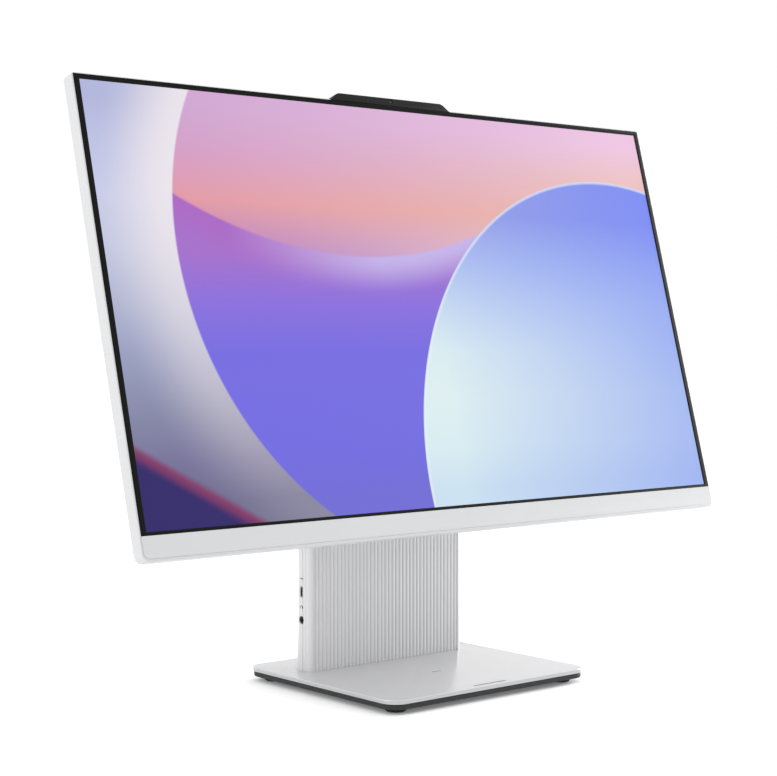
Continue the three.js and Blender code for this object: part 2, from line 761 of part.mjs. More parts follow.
function usbOutline(grow) {
  const thickness = USB_C.thickness / 2 + grow;
  const height = USB_C.height / 2 + grow;
  return roundedRectangle(
    [PORT_Y - thickness, PORT_Y + thickness],
    [USB_C.z - height, USB_C.z + height],
    thickness - GAP / 10,
  );
}

function columnFrontShell() {
  const { halfWidth, front, back, top, wall } = COLUMN;
  const inner = halfWidth - wall;
  const cavity = block([-inner, front + wall, columnBottom - PAST], [inner, back + PAST, top - wall]);
  const sideWall = [-halfWidth - PAST, -inner + PAST];
  const window = block(
    [-HINGE.barrelHalfWidth - 1, front - PAST, hingeZ - COLUMN_BRACKET.armHalfHeight - 1],
    [HINGE.barrelHalfWidth + 1, front + wall + PAST, hingeZ + COLUMN_BRACKET.armHalfHeight + 1],
  );
  const { z, radius } = POWER_BUTTON;
  return cut(
    alongZ(columnOutline(), [columnBottom, top]),
    cavity,
    window,
    alongX(usbOutline(USB_C.opening), sideWall),
    cylinder("x", JACK.opening, sideWall, [PORT_Y, JACK.z], 28),
    cylinder("x", radius + GAP / 2, [inner - PAST, halfWidth + PAST], [PORT_Y, z], 28),
  );
}

// Side profile of the rear box: a shallow connector bay below, the cooling box above, a sloping top.
// The inner form runs out of the bottom, where the box is open.
function rearBoxForm(inset) {
  const { halfWidth, back, ioBack, ioTop, ioStep, top, slope, topStep, radius } = REAR_BOX;
  const base = COLUMN.back - PAST;
  const low = inset > 0 ? columnBottom - PAST : columnBottom;
  const profile = polygon([
    [base, low],
    [ioBack - inset, low],
    [ioBack - inset, ioTop + inset],
    [back - inset, ioTop + inset + ioStep],
    [back - inset, top - slope - inset],
    [back - inset - topStep, top - inset],
    [base, top - inset],
  ]);
  const width = halfWidth - inset;
  const plan = roundedRectangle(mirrored(width), [base - 2 * radius, back], GAP, radius);
  return common(alongX(profile, mirrored(width)), alongZ(plan, [low - PAST, top + PAST]));
}

function columnRearCover() {
  const { halfWidth, back, top, wall } = COLUMN;
  const inner = halfWidth - wall - GAP;
  const sheet = block([-inner, back - wall, columnBottom], [inner, back, top - wall - GAP]);
  const hollow = rearBoxForm(REAR_BOX.wall);
  const mouth = block(
    [-REAR_BOX.halfWidth + REAR_BOX.wall, back - wall - PAST, columnBottom - PAST],
    [REAR_BOX.halfWidth - REAR_BOX.wall, back - PAST / 2, REAR_BOX.top - REAR_BOX.wall],
  );
  // Upright vent slots over the fan's inlet.
  const slots = [];
  for (let i = 0; i < VENT.count; i += 1) {
    const x = (i - (VENT.count - 1) / 2) * VENT.pitch;
    const face = roundedRectangle(
      [x - VENT.width / 2, x + VENT.width / 2],
      [VENT.centreZ - VENT.height / 2, VENT.centreZ + VENT.height / 2],
      VENT.radius,
    );
    slots.push(alongY(face, [REAR_BOX.back - REAR_BOX.wall - PAST, REAR_BOX.back + PAST]));
  }
  const exhaust = block(
    [-FIN_STACK.halfWidth, REAR_BOX.ioBack, REAR_BOX.top - REAR_BOX.wall - PAST],
    [FIN_STACK.halfWidth, REAR_BOX.ioBack + EXHAUST_DEPTH, REAR_BOX.top + PAST],
  );
  const ports = block(
    [-IO_PLATE.halfWidth + IO_PLATE.lap, REAR_BOX.ioBack - REAR_BOX.wall - PAST, IO_PLATE.bottom + IO_PLATE.lap],
    [IO_PLATE.halfWidth - IO_PLATE.lap, REAR_BOX.ioBack + PAST, IO_PLATE.top - IO_PLATE.lap],
  );
  return cut(join(sheet, rearBoxForm(0)), hollow, mouth, ports, exhaust, ...slots);
}

addPiece(computer, "column_front_shell", "silver", columnFrontShell());
addPiece(computer, "column_rear_cover", "silver", columnRearCover());

// ---- Column: steel spine ----------------------------------------------------------------------

function standSpine() {
  const { sheet, halfWidth, footDepth, top } = SPINE;
  const upright = block([-halfWidth, spineFront, columnBottom], [halfWidth, spineBack, top]);
  const foot = block([-halfWidth, spineFront, columnBottom], [halfWidth, spineFront + footDepth, columnBottom + sheet]);
  const footHoles = baseScrewPlaces().map((place) =>
    cylinder("z", SCREW.hole, [columnBottom - PAST, columnBottom + sheet + PAST], place, 12),
  );
  const bracketHoles = mirrored(COLUMN_BRACKET.screwX).map((x) =>
    cylinder("y", SCREW.hole, [spineFront - PAST, spineBack + PAST], [x, COLUMN_BRACKET.screwZ], 16),
  );
  return cut(join(upright, foot), ...footHoles, ...bracketHoles);
}

function baseScrewPlaces() {
  const { x, frontY, backY } = BASE_SCREW;
  return [frontY, backY].flatMap((y) => mirrored(x).map((side) => [side, y]));
}

addPiece(computer, "stand_spine", "steel", standSpine());

// ---- Computer inside the column ---------------------------------------------------------------

// A plug-in card: a thin board with chips on its back face.
function card([left, right], [bottom, top], { front, back, board }, chips) {
  const sheet = block([left, front, bottom], [right, front + board, top]);
  const pitch = (right - left) / chips;
  const parts = [sheet];
  for (let i = 0; i < chips; i += 1) {
    const middle = left + (i + 0.5) * pitch;
    const half = pitch * CHIP.half;
    const low = bottom + (top - bottom) * CHIP.low;
    const high = bottom + (top - bottom) * CHIP.high;
    parts.push(block([middle - half, front + board / 2, low], [middle + half, back, high]));
  }
  return join(...parts);
}

function motherboard() {
  const { halfWidth, front, back, bottom, top } = BOARD;
  const sheet = block([-halfWidth, front, bottom], [halfWidth, back, top]);
  const notch = block(
    [-halfWidth - PAST, front - PAST, JACK.z - BOARD.notch.half],
    [-halfWidth + BOARD.notch.reach, back + PAST, JACK.z + BOARD.notch.half],
  );
  const { chipHalf, chipBack, bottom: low, top: high } = HEATSINK;
  const middle = (low + high) / 2;
  const chip = block([-chipHalf, back - GAP, middle - chipHalf], [chipHalf, chipBack, middle + chipHalf]);
  const chokes = mirrored(CHOKE.x).flatMap((x) =>
    Array.from({ length: CHOKE.count }, (_, i) => {
      const z = CHOKE.firstZ + i * CHOKE.pitch;
      return block([x - CHOKE.half, back - GAP, z - CHOKE.half], [x + CHOKE.half, back + CHOKE.height, z + CHOKE.half]);
    }),
  );
  const powerSwitch = block(
    [halfWidth - SWITCH.reach, back - GAP, POWER_BUTTON.z - SWITCH.half],
    [halfWidth + SWITCH.past, PORT_Y + SWITCH.height, POWER_BUTTON.z + SWITCH.half],
  );
  return join(cut(sheet, notch), chip, ...chokes, powerSwitch);
}

function heatsink() {
  const { halfWidth, bottom, top, back, chipBack } = HEATSINK;
  return block([-halfWidth, chipBack + GAP, bottom], [halfWidth, back, top]);
}

// A flattened copper pipe from the cold plate up one side of the fan to the fins.
function heatPipe() {
  const { radius, flatten, y, steps } = HEAT_PIPE;
  const route = new THREE.CatmullRomCurve3(HEAT_PIPE.route.map(([x, z]) => new THREE.Vector3(x, y, z)));
  const section = new THREE.Shape();
  section.absellipse(0, 0, radius, radius * flatten, 0, 2 * Math.PI);
  return new THREE.ExtrudeGeometry(section, {
    steps,
    curveSegments: 3,
    extrudePath: route,
    bevelEnabled: false,
  });
}

function finStack() {
  const { halfWidth, bottom, top, pitch, fin, plate } = FIN_STACK;
  const { front, back } = FAN;
  const count = Math.floor((2 * halfWidth) / pitch);
  const parts = [block([-halfWidth, front, bottom], [halfWidth, front + plate, top])];
  for (let i = 0; i <= count; i += 1) {
    const x = -halfWidth + i * ((2 * halfWidth - fin) / count);
    parts.push(block([x, front + plate / 2, bottom], [x + fin, back, top]));
  }
  return join(...parts);
}

// The blower's scroll: a shallow square pan with a round inlet behind and an outlet above.
function fanHousing() {
  const { x, z, half, radius, outletRadius, front, back, wall, rotor, chamberGap, inletInset } = FAN;
  const outline = roundedRectangle([x - half, x + half], [z - half, z + half], radius, outletRadius);
  const outer = alongY(outline, [front, back]);
  const chamber = cylinder("y", rotor + chamberGap, [front + wall, back - wall], [x, z], 32);
  const outlet = block([x - rotor, front + wall, z], [x + half - wall, back - wall, z + half + PAST]);
  const inlet = cylinder("y", rotor - inletInset, [back - wall - PAST, back + PAST], [x, z], 32);
  return cut(outer, chamber, outlet, inlet);
}

function fanRotor() {
  const { x, z, front, back, wall, rotor, rotorGap, hub, blades } = FAN;
  const { thickness, root, shorter } = FAN.blade;
  const low = front + wall + rotorGap;
  const high = back - wall - rotorGap;
  const parts = [cylinder("y", hub, [low, high], [x, z], 28)];
  for (let i = 0; i < blades; i += 1) {
    const blade = new THREE.BoxGeometry(rotor - hub + root, high - low - shorter, thickness);
    blade.translate((rotor + hub - root) / 2, 0, 0).rotateY((2 * Math.PI * i) / blades);
    parts.push(blade.translate(x, (low + high) / 2, z));
  }
  return join(...parts);
}

function memoryModule(side) {
  const { halfWidth, gap, bottom, height } = MEMORY;
  const ends = side < 0 ? [-gap / 2 - 2 * halfWidth, -gap / 2] : [gap / 2, gap / 2 + 2 * halfWidth];
  return card(ends, [bottom, bottom + height], MEMORY, 4);
}

function m2Card(size, chips) {
  return card([size.x - size.width / 2, size.x + size.width / 2], [size.bottom, size.bottom + size.height], size, chips);
}

addPiece(computer, "motherboard", "board", motherboard());
addPiece(computer, "heatsink_plate", "aluminium", heatsink());
addPiece(computer, "heat_pipe", "copper", heatPipe());
addPiece(computer, "fin_stack", "aluminium", finStack());
addPiece(computer, "fan_housing", "black", fanHousing());
addPiece(computer, "fan_rotor", "black", fanRotor());
addPiece(computer, "memory_module_left", "board", memoryModule(-1));
addPiece(computer, "memory_module_right", "board", memoryModule(1));
addPiece(computer, "ssd_card", "board", m2Card(SSD, 1));
addPiece(computer, "wifi_card", "board", m2Card(WIFI, 1));

// ---- Connectors -------------------------------------------------------------------------------

function usbCPort() {
  const mouth = -COLUMN.halfWidth + GAP;
  const inner = -COLUMN.halfWidth + USB_C.depth;
  const shell = alongX(usbOutline(0), [mouth, inner]);
  const pocket = alongX(usbOutline(-USB_C.shell), [mouth - PAST, inner - USB_C.floor]);
  const { thickness, inset, recess, root } = USB_C.tongue;
  const half = USB_C.height / 2 - inset;
  const tongue = block(
    [mouth + recess, PORT_Y - thickness / 2, USB_C.z - half],
    [inner - root, PORT_Y + thickness / 2, USB_C.z + half],
  );
  return join(cut(shell, pocket), tongue);
}

function audioJack() {
  const mouth = -COLUMN.halfWidth + GAP;
  const wallInside = -COLUMN.halfWidth + COLUMN.wall + GAP;
  const end = mouth + JACK.depth;
  const nose = cylinder("x", JACK.radius, [mouth, wallInside + PAST], [PORT_Y, JACK.z], 28);
  const body = block([wallInside, PORT_Y - JACK.body, JACK.z - JACK.body], [end, PORT_Y + JACK.body, JACK.z + JACK.body]);
  const bore = cylinder("x", JACK.bore, [mouth - PAST, mouth + JACK.boreDepth], [PORT_Y, JACK.z], 20);
  return cut(join(nose, body), bore);
}

// Rear connectors in a row: centre, width, height, how much of the face is open, and the key inside.
const REAR_PORTS = {
  dc_inlet: { x: -44, width: 11, height: 11, round: 4.2, pin: 1.1 },
  hdmi_port: { x: -24, width: 15, height: 6, lip: 0.7, tongue: { height: 1, shift: 0 } },
  ethernet_port: { x: 0, width: 16, height: 13.5, lip: 1.6 },
  usb_a_port: { x: 25, width: 13.6, height: 6.4, lip: 0.6, tongue: { height: 1.8, shift: 1.2 } },
};
const REAR_PORT = { z: 27, depth: 12, root: 0.5, keyInset: 2, keyRecess: 1.2, pinRecess: 1 };

function rearPort({ x, width, height, lip, round, pin, tongue }) {
  const { z, depth, root, keyInset, keyRecess, pinRecess } = REAR_PORT;
  const front = BOARD.back + GAP;
  const back = REAR_BOX.ioBack - 1;
  const body = block(
    [x - width / 2, front, z - height / 2],
    [x + width / 2, back, z + height / 2],
  );
  const mouth = [back - depth, back + PAST];
  if (round) {
    const bore = cylinder("y", round, mouth, [x, z], 28);
    const core = cylinder("y", pin, [mouth[0] - root, back - pinRecess], [x, z], 16);
    return join(cut(body, bore), core);
  }
  const hollow = block(
    [x - width / 2 + lip, mouth[0], z - height / 2 + lip],
    [x + width / 2 - lip, mouth[1], z + height / 2 - lip],
  );
  const open = cut(body, hollow);
  if (!tongue) return open;
  const middle = z + tongue.shift;
  const key = block(
    [x - width / 2 + keyInset, mouth[0] - root, middle - tongue.height / 2],
    [x + width / 2 - keyInset, back - keyRecess, middle + tongue.height / 2],
  );
  return join(open, key);
}

function ioPlate() {
  const { front, back, halfWidth, bottom, top } = IO_PLATE;
  const sheet = block([-halfWidth, front, bottom], [halfWidth, back, top]);
  const holes = Object.values(REAR_PORTS).map(({ x, width, height }) =>
    block(
      [x - width / 2 - GAP, front - PAST, REAR_PORT.z - height / 2 - GAP],
      [x + width / 2 + GAP, back + PAST, REAR_PORT.z + height / 2 + GAP],
    ),
  );
  return cut(sheet, ...holes);
}

addPiece(computer, "usb_c_port", "black", usbCPort());
addPiece(computer, "audio_jack", "black", audioJack());
addPiece(computer, "io_plate", "steel", ioPlate());
for (const [name, size] of Object.entries(REAR_PORTS)) {
  addPiece(computer, name, size.round ? "black" : "aluminium", rearPort(size));
}

// ---- Power button -----------------------------------------------------------------------------

function powerButton() {
  const { z, radius, proud, flangeHalf, flangeThickness } = POWER_BUTTON;
  const [halfY, halfZ] = flangeHalf;
  const inside = COLUMN.halfWidth - COLUMN.wall - GAP;
  const cap = cylinder("x", radius, [inside - GAP, COLUMN.halfWidth + proud], [PORT_Y, z], 28);
  const flange = block([inside - flangeThickness, PORT_Y - halfY, z - halfZ], [inside, PORT_Y + halfY, z + halfZ]);
  return join(cap, flange);
}

addPiece(computer, "power_button", "silver", powerButton());

// ---- Base -------------------------------------------------------------------------------------

function baseOutline(inset) {
  return roundedRectangle(
    mirrored(BASE.width / 2 - inset),
    mirrored(BASE.depth / 2 - inset),
    BASE.radius - inset,
  );
}

function screwHoles(low, high) {
  return baseScrewPlaces().map((place) => cylinder("z", SCREW.hole, [low - PAST, high + PAST], place, 12));
}

function basePlate() {
  const { thickness, bevel } = PLATE;
  const slab = new THREE.ExtrudeGeometry(baseOutline(bevel), {
    depth: thickness - 2 * bevel,
    bevelEnabled: true,
    bevelThickness: bevel,
    bevelSize: bevel,
    bevelSegments: 1,
    curveSegments: 6,
  });
  return cut(slab.translate(0, 0, plateBottom + bevel), ...screwHoles(plateBottom, BASE.top));
}

// A moulded pan under the plate whose edge curves in below.
function baseUnderlay() {
  const { inset, bottom, undercut } = UNDERLAY;
  const top = plateBottom - GAP;
  const depth = top - bottom;
  const slab = new THREE.ExtrudeGeometry(baseOutline(inset + undercut), {
    depth: depth / 2,
    bevelEnabled: true,
    bevelThickness: depth / 2,
    bevelSize: undercut,
    bevelSegments: 2,
    curveSegments: 6,
  });
  const lower = slab.translate(0, 0, bottom + depth / 2);
  const trimmed = common(lower, block([-BASE.width, -BASE.depth, bottom], [BASE.width, BASE.depth, bottom + depth / 2]));
  const upper = extrude(baseOutline(inset), depth / 2 + GAP, 6).translate(0, 0, bottom + depth / 2 - GAP);
  const counterbores = baseScrewPlaces().map((place) =>
    cylinder("z", SCREW.head + GAP, [bottom - PAST, bottom + SCREW.headHeight + 2 * GAP], place, 12),
  );
  const footWells = footPlaces().map((place) =>
    cylinder("z", FOOT.radius + GAP, [bottom - PAST, bottom + FOOT.recess], place, 24),
  );
  return cut(join(trimmed, upper), ...screwHoles(bottom, top), ...counterbores, ...footWells);
}

function footPlaces() {
  const x = BASE.width / 2 - FOOT.inset;
  const y = BASE.depth / 2 - FOOT.inset;
  return mirrored(y).flatMap((side) => mirrored(x).map((end) => [end, side]));
}

function rubberFoot(place) {
  return cylinder("z", FOOT.radius, [-FOOT.reach, UNDERLAY.bottom + FOOT.recess - GAP], place, 24);
}

addPiece(computer, "base_plate", "silver", basePlate());
addPiece(computer, "base_underlay", "charcoal", baseUnderlay());
footPlaces().forEach((place, index) => {
  addPiece(computer, `rubber_foot_${index + 1}`, "rubber", rubberFoot(place));
});
baseScrewPlaces().forEach((place, index) => {
  const head = UNDERLAY.bottom + SCREW.headHeight + GAP;
  const piece = screw("z", [columnBottom + SPINE.sheet + PAST, head], place);
  addPiece(computer, `base_screw_${index + 1}`, "steel", piece);
});

computer.position.z = FOOT.reach;

export default computer;
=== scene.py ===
"""Looks for an all-in-one desktop computer: a slim tilting display, a ribbed column and a flat base.

Metres, +Z up. +X is the viewer's right and the screen faces -Y. Pieces are drawn in millimetres, either in
the row frame or in the panel's own frame (X right, Y into the display, Z up the screen, origin at the lit
centre), and are brought to metres in their mesh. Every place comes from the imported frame.
"""
import json
import math

import bmesh
import bpy
from bmesh import ops
from mathutils import Matrix, Vector


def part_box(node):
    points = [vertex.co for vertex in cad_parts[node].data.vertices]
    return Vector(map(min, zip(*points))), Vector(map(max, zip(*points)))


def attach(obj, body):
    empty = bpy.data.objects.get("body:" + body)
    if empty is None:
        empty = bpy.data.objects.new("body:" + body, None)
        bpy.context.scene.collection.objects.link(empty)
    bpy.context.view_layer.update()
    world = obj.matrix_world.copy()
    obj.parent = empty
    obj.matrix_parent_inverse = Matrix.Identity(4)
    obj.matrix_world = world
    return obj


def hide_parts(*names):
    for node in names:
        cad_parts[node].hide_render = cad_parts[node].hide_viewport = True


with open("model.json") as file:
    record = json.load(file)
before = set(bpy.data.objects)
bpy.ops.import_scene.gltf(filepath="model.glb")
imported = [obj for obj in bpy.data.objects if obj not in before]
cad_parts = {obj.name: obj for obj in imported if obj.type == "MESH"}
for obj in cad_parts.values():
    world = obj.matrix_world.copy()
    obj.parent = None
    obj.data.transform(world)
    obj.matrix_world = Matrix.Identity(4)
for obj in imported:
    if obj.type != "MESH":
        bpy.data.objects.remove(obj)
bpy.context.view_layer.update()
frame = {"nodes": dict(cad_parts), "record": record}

MM = 0.001
nodes = frame["nodes"]
SLOT_OF = {row["node"]: row["material_slot"] for row in frame["record"]["subparts"]}

# Millimetres, here and in every table below unless it says otherwise.
LIT_HALF_WIDTH = 298.95
LIT_HALF_HEIGHT = 168.15
BEZEL_BELOW_LIT = 2.25
GAP = 0.3   # between neighbouring parts
PAST = 1.0  # how far a cut runs past the face it opens
NEAR = 0.01  # a point this close to a plane lies on it
WELD = 1e-4  # points this close become one


# ---- Places read from the frame ----

def panel_frame():
    """The matrix from panel millimetres to the row frame, read from the front bezel's end corners."""
    corners = [v.co for v in nodes["front_bezel"].data.vertices]
    foot = min(corners, key=lambda p: p.y)
    crown = max(corners, key=lambda p: p.z)
    up = Vector((0, crown.y - foot.y, crown.z - foot.z)).normalized()
    into = Vector((0, up.z, -up.y))
    centre = Vector((0, foot.y, foot.z)) + up * (BEZEL_BELOW_LIT + LIT_HALF_HEIGHT) * MM
    turn = Matrix((Vector((1, 0, 0)), into, up)).transposed().to_4x4()
    return Matrix.Translation(centre) @ turn @ Matrix.Scale(MM, 4)


STAND = Matrix.Scale(MM, 4)
DISPLAY = panel_frame()
TO_PANEL = DISPLAY.inverted()
PANEL_TILT = math.atan2(DISPLAY[1][2], DISPLAY[2][2])


def stand_box(node):
    """A node's low and high corners in the row frame, in millimetres."""
    low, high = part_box(node)
    return low / MM, high / MM


def panel_box(node):
    """A node's low and high corners in the panel's frame, in millimetres."""
    points = [TO_PANEL @ v.co for v in nodes[node].data.vertices]
    return Vector(map(min, zip(*points))), Vector(map(max, zip(*points)))


def middle_of(node, box=stand_box):
    """The middle of a node's box, in the stand's frame unless told to use the panel's."""
    low, high = box(node)
    return (low + high) / 2


# ---- Mesh helpers ----

class Pen:
    """Draws a closed outline with straight runs and arcs, and raises it into a prism."""

    def __init__(self, x, y):
        self.bm = bmesh.new()
        self.tip = self.bm.verts.new((x, y, 0))

    def line(self, x, y):
        made = ops.extrude_vert_indiv(self.bm, verts=[self.tip])["verts"]
        self.tip = made[0]
        self.tip.co = (x, y, 0)

    def arc(self, x, y, degrees, steps=6):
        angle = math.radians(degrees)
        turned = ops.spin(
            self.bm, geom=[self.tip], cent=(x, y, 0), axis=(0, 0, 1), angle=angle, steps=steps)
        self.tip = next(g for g in turned["geom_last"] if isinstance(g, bmesh.types.BMVert))

    def mirror(self):
        """Adds the outline's other half, across X = 0."""
        ops.mirror(self.bm, geom=self.bm.verts[:] + self.bm.edges[:], axis="X", merge_dist=WELD)

    def prism(self, low, high):
        bm = self.bm
        ops.remove_doubles(bm, verts=bm.verts, dist=WELD)
        face = ops.contextual_create(bm, geom=bm.edges)["faces"][0]
        raised = ops.extrude_face_region(bm, geom=[face], use_keep_orig=True)["geom"]
        top = [g for g in raised if isinstance(g, bmesh.types.BMVert)]
        ops.translate(bm, vec=(0, 0, high - low), verts=top)
        ops.translate(bm, vec=(0, 0, low), verts=bm.verts)
        ops.recalc_face_normals(bm, faces=bm.faces)
        return bm


# From a prism's own axes (outline x, outline y, height) to the axes that it lies along.
ALONG_X = Matrix(((0, 0, 1, 0), (1, 0, 0, 0), (0, 1, 0, 0), (0, 0, 0, 1)))
ALONG_Y = Matrix(((1, 0, 0, 0), (0, 0, 1, 0), (0, 1, 0, 0), (0, 0, 0, 1)))


def lay(bm, axis):
    """Turns a solid that was drawn along Z to lie along an axis."""
    if axis == "z":
        return bm
    ops.transform(bm, matrix=ALONG_X if axis == "x" else ALONG_Y, verts=bm.verts)
    ops.recalc_face_normals(bm, faces=bm.faces)
    return bm


def rounded_bar(axis, span, first, second, lower, upper=None, steps=8):
    """A bar along an axis whose section is a rectangle with round corners, one radius below and one above."""
    upper = lower if upper is None else upper
    (left, right), (bottom, top) = first, second
    pen = Pen(left + lower, bottom)
    pen.line(right - lower, bottom)
    pen.arc(right - lower, bottom + lower, 90, steps)
    pen.line(right, top - upper)
    pen.arc(right - upper, top - upper, 90, steps)
    pen.line(left + upper, top)
    pen.arc(left + upper, top - upper, 90, steps)
    pen.line(left, bottom + lower)
    pen.arc(left + lower, bottom + lower, 90, steps)
    return lay(pen.prism(*span), axis)


def moulding(low, high, radius, inset=0, reach=(0, 0), upper=None, steps=8):
    """A round-cornered block along Y between two corners, inset all round, with its two ends moved."""
    return rounded_bar(
        "y", (low.y + reach[0], high.y + reach[1]), (low.x + inset, high.x - inset),
        (low.z + inset, high.z - inset), radius, upper, steps)


def bar(axis, points, span):
    """A bar along an axis with a plain polygon for its section."""
    pen = Pen(*points[0])
    for point in points[1:]:
        pen.line(*point)
    pen.line(*points[0])
    return lay(pen.prism(*span), axis)


def about(middle, half):
    return middle - half, middle + half


def slab(low, high):
    """A square-edged block between two corners, for a base shape or a cut."""
    bm = bmesh.new()
    ops.create_cube(bm, size=1)
    low, high = Vector(low), Vector(high)
    ops.scale(bm, vec=high - low, verts=bm.verts)
    ops.translate(bm, vec=(high + low) / 2, verts=bm.verts)
    return bm


def rod(axis, radius, span, centre, sides=48, end_radius=None):
    """A round rod along an axis; centre gives its other two coordinates in X, Y, Z order."""
    bm = bmesh.new()
    depth = span[1] - span[0]
    end_radius = radius if end_radius is None else end_radius
    ops.create_cone(
        bm, cap_ends=True, segments=sides, radius1=radius, radius2=end_radius, depth=depth)
    ops.translate(bm, vec=(centre[0], centre[1], (span[0] + span[1]) / 2), verts=bm.verts)
    return lay(bm, axis)


def on(axis, level):
    """A test for points that lie on a plane across an axis."""
    return lambda point: abs(getattr(point, axis) - level) < NEAR


def sharp(bm, degrees=30, keep=None):
    """The edges that turn more than an angle, and pass a test of their two ends if one is given."""
    found = []
    for edge in bm.edges:
        if not edge.is_manifold or edge.calc_face_angle() < math.radians(degrees):
            continue
        if keep is None or all(keep(v.co) for v in edge.verts):
            found.append(edge)
    return found


def round_over(bm, edges, width, segments):
    ops.bevel(
        bm, geom=edges, offset=width, offset_type="OFFSET", segments=segments, profile=0.5, affect="EDGES",
        clamp_overlap=True, material=-1)
    return bm


def soften(bm, width, segments=3, keep=None, degrees=30):
    """Rounds the sharp edges over."""
    return round_over(bm, sharp(bm, degrees, keep), width, segments)


def to_object(name, bm):
    mesh = bpy.data.meshes.new(name)
    bm.to_mesh(mesh)
    bm.free()
    thing = bpy.data.objects.new(name, mesh)
    bpy.context.scene.collection.objects.link(thing)
    return thing


def shaped(body, cuts=(), joins=()):
    """One solid: the body with other solids joined to it and others cut from it."""
    base = to_object("shape", body)
    tools = []
    for operation, group in (("UNION", joins), ("DIFFERENCE", cuts)):
        for solid in group:
            tool = to_object("tool", solid)
            step = base.modifiers.new("step", "BOOLEAN")
            step.operation = operation
            step.solver = "EXACT"
            step.object = tool
            tools.append(tool)
    bpy.context.view_layer.update()
    evaluated = base.evaluated_get(bpy.context.evaluated_depsgraph_get())
    result = bmesh.new()
    result.from_mesh(evaluated.to_mesh())
    evaluated.to_mesh_clear()
    for thing in [base] + tools:
        mesh = thing.data
        bpy.data.objects.remove(thing)
        bpy.data.meshes.remove(mesh)
    return result


def merged(*solids):
    """One mesh that holds several separate solids."""
    whole = bmesh.new()
    for solid in solids:
        mesh = bpy.data.meshes.new("part")
        solid.to_mesh(mesh)
        solid.free()
        whole.from_mesh(mesh)
        bpy.data.meshes.remove(mesh)
    return whole


def add_piece(name, bm, body, node=None, slot=None, finish=None, angle=32):
    """Brings a mesh to metres and parents it to its body's empty, in place of a node and in that node's
    finish.
    """
    slot = slot or SLOT_OF[node]
    ops.transform(bm, matrix=DISPLAY if body == "display" else STAND, verts=bm.verts)
    piece = to_object(name, bm)
    piece.data.polygons.foreach_set("use_smooth", [True] * len(piece.data.polygons))
    piece.data.set_sharp_from_angle(angle=math.radians(angle))
    piece.data.materials.append(finish or FINISH[slot])
    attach(piece, body)
    if node:
        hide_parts(node)


# ---- Finishes ----

def shade(red, green, blue):
    """A display colour from 0 to 255, as a linear colour."""
    parts = [c / 255 for c in (red, green, blue)]
    return tuple(c / 12.92 if c <= 0.04045 else ((c + 0.055) / 1.055) ** 2.4 for c in parts) + (1.0,)


def grey(level, tint=0.0):
    return (level * (1 - tint), level, level * (1 + tint), 1.0)


class Finish:
    """A node material: one principled shader fed by noise and masks on the object's own coordinates."""

    def __init__(self, name, rough=0.5, metal=0.0, specular=0.5):
        self.material = bpy.data.materials.new(name)
        self.material.use_nodes = True
        self.tree = self.material.node_tree
        self.shader = self.tree.nodes["Principled BSDF"]
        self.shader.inputs["Roughness"].default_value = rough
        self.shader.inputs["Metallic"].default_value = metal
        self.shader.inputs["Specular IOR Level"].default_value = specular
        self.place = self.add("ShaderNodeTexCoord").outputs["Object"]

    def add(self, kind, settings=None, **inputs):
        """A node with its settings, and its inputs either linked from a socket or set to a value."""
        node = self.tree.nodes.new(kind)
        for key, value in (settings or {}).items():
            setattr(node, key, value)
        for key, value in inputs.items():
            self.feed(node, key.replace("_", " "), value)
        return node

    def feed(self, node, key, value):
        socket = node.inputs[int(key[1:])] if key[0] == "i" and key[1:].isdigit() else node.inputs[key]
        if isinstance(value, bpy.types.NodeSocket):
            self.tree.links.new(value, socket)
        else:
            socket.default_value = value

    def math(self, operation, first, second=0.0, clamp=False):
        settings = {"operation": operation, "use_clamp": clamp}
        return self.add("ShaderNodeMath", settings, i0=first, i1=second).outputs[0]

    def vector(self, operation, first, second):
        node = self.add("ShaderNodeVectorMath", {"operation": operation}, i0=first, i1=second)
        return node.outputs["Value"]

    def mapped(self, scale=(1, 1, 1), turn=(0, 0, 0), move=(0, 0, 0)):
        node = self.add("ShaderNodeMapping", Vector=self.place, Scale=scale, Rotation=turn, Location=move)
        return node.outputs[0]

    def noise(self, scale, detail=2.0, point=None):
        node = self.add("ShaderNodeTexNoise", Vector=point or self.place, Scale=scale, Detail=detail)
        return node.outputs["Fac"]

    def split(self, point=None):
        """The separate X, Y and Z of a point, in metres."""
        return self.add("ShaderNodeSeparateXYZ", Vector=point or self.place).outputs

    def spread(self, value, low, high, start=0.0, end=1.0, smooth=False):
        """A value carried from one range to another, and held at its ends."""
        settings = {"interpolation_type": "SMOOTHSTEP" if smooth else "LINEAR"}
        node = self.add("ShaderNodeMapRange", settings, i0=value, i1=low, i2=high, i3=start, i4=end)
        return node.outputs[0]

    def mix(self, factor, first, second):
        return self.add("ShaderNodeMix", {"data_type": "RGBA"}, i0=factor, i6=first, i7=second).outputs[2]

    def ramp(self, value, stops):
        """A colour ramp through (place, colour) stops."""
        node = self.add("ShaderNodeValToRGB", Fac=value)
        band = node.color_ramp
        while len(band.elements) < len(stops):
            band.elements.new(0.5)
        for element, (place, colour) in zip(band.elements, stops):
            element.position = place
            element.color = colour
        return node.outputs["Color"]

    def paint(self, colour):
        self.feed(self.shader, "Base Color", colour)

    def relief(self, height, strength, distance):
        bump = self.add("ShaderNodeBump", Height=height, Strength=strength, Distance=distance)
        self.feed(self.shader, "Normal", bump.outputs[0])

    def uneven(self, value, low, high):
        """Roughness that wanders between two values."""
        self.feed(self.shader, "Roughness", self.spread(value, 0.3, 0.7, low, high))


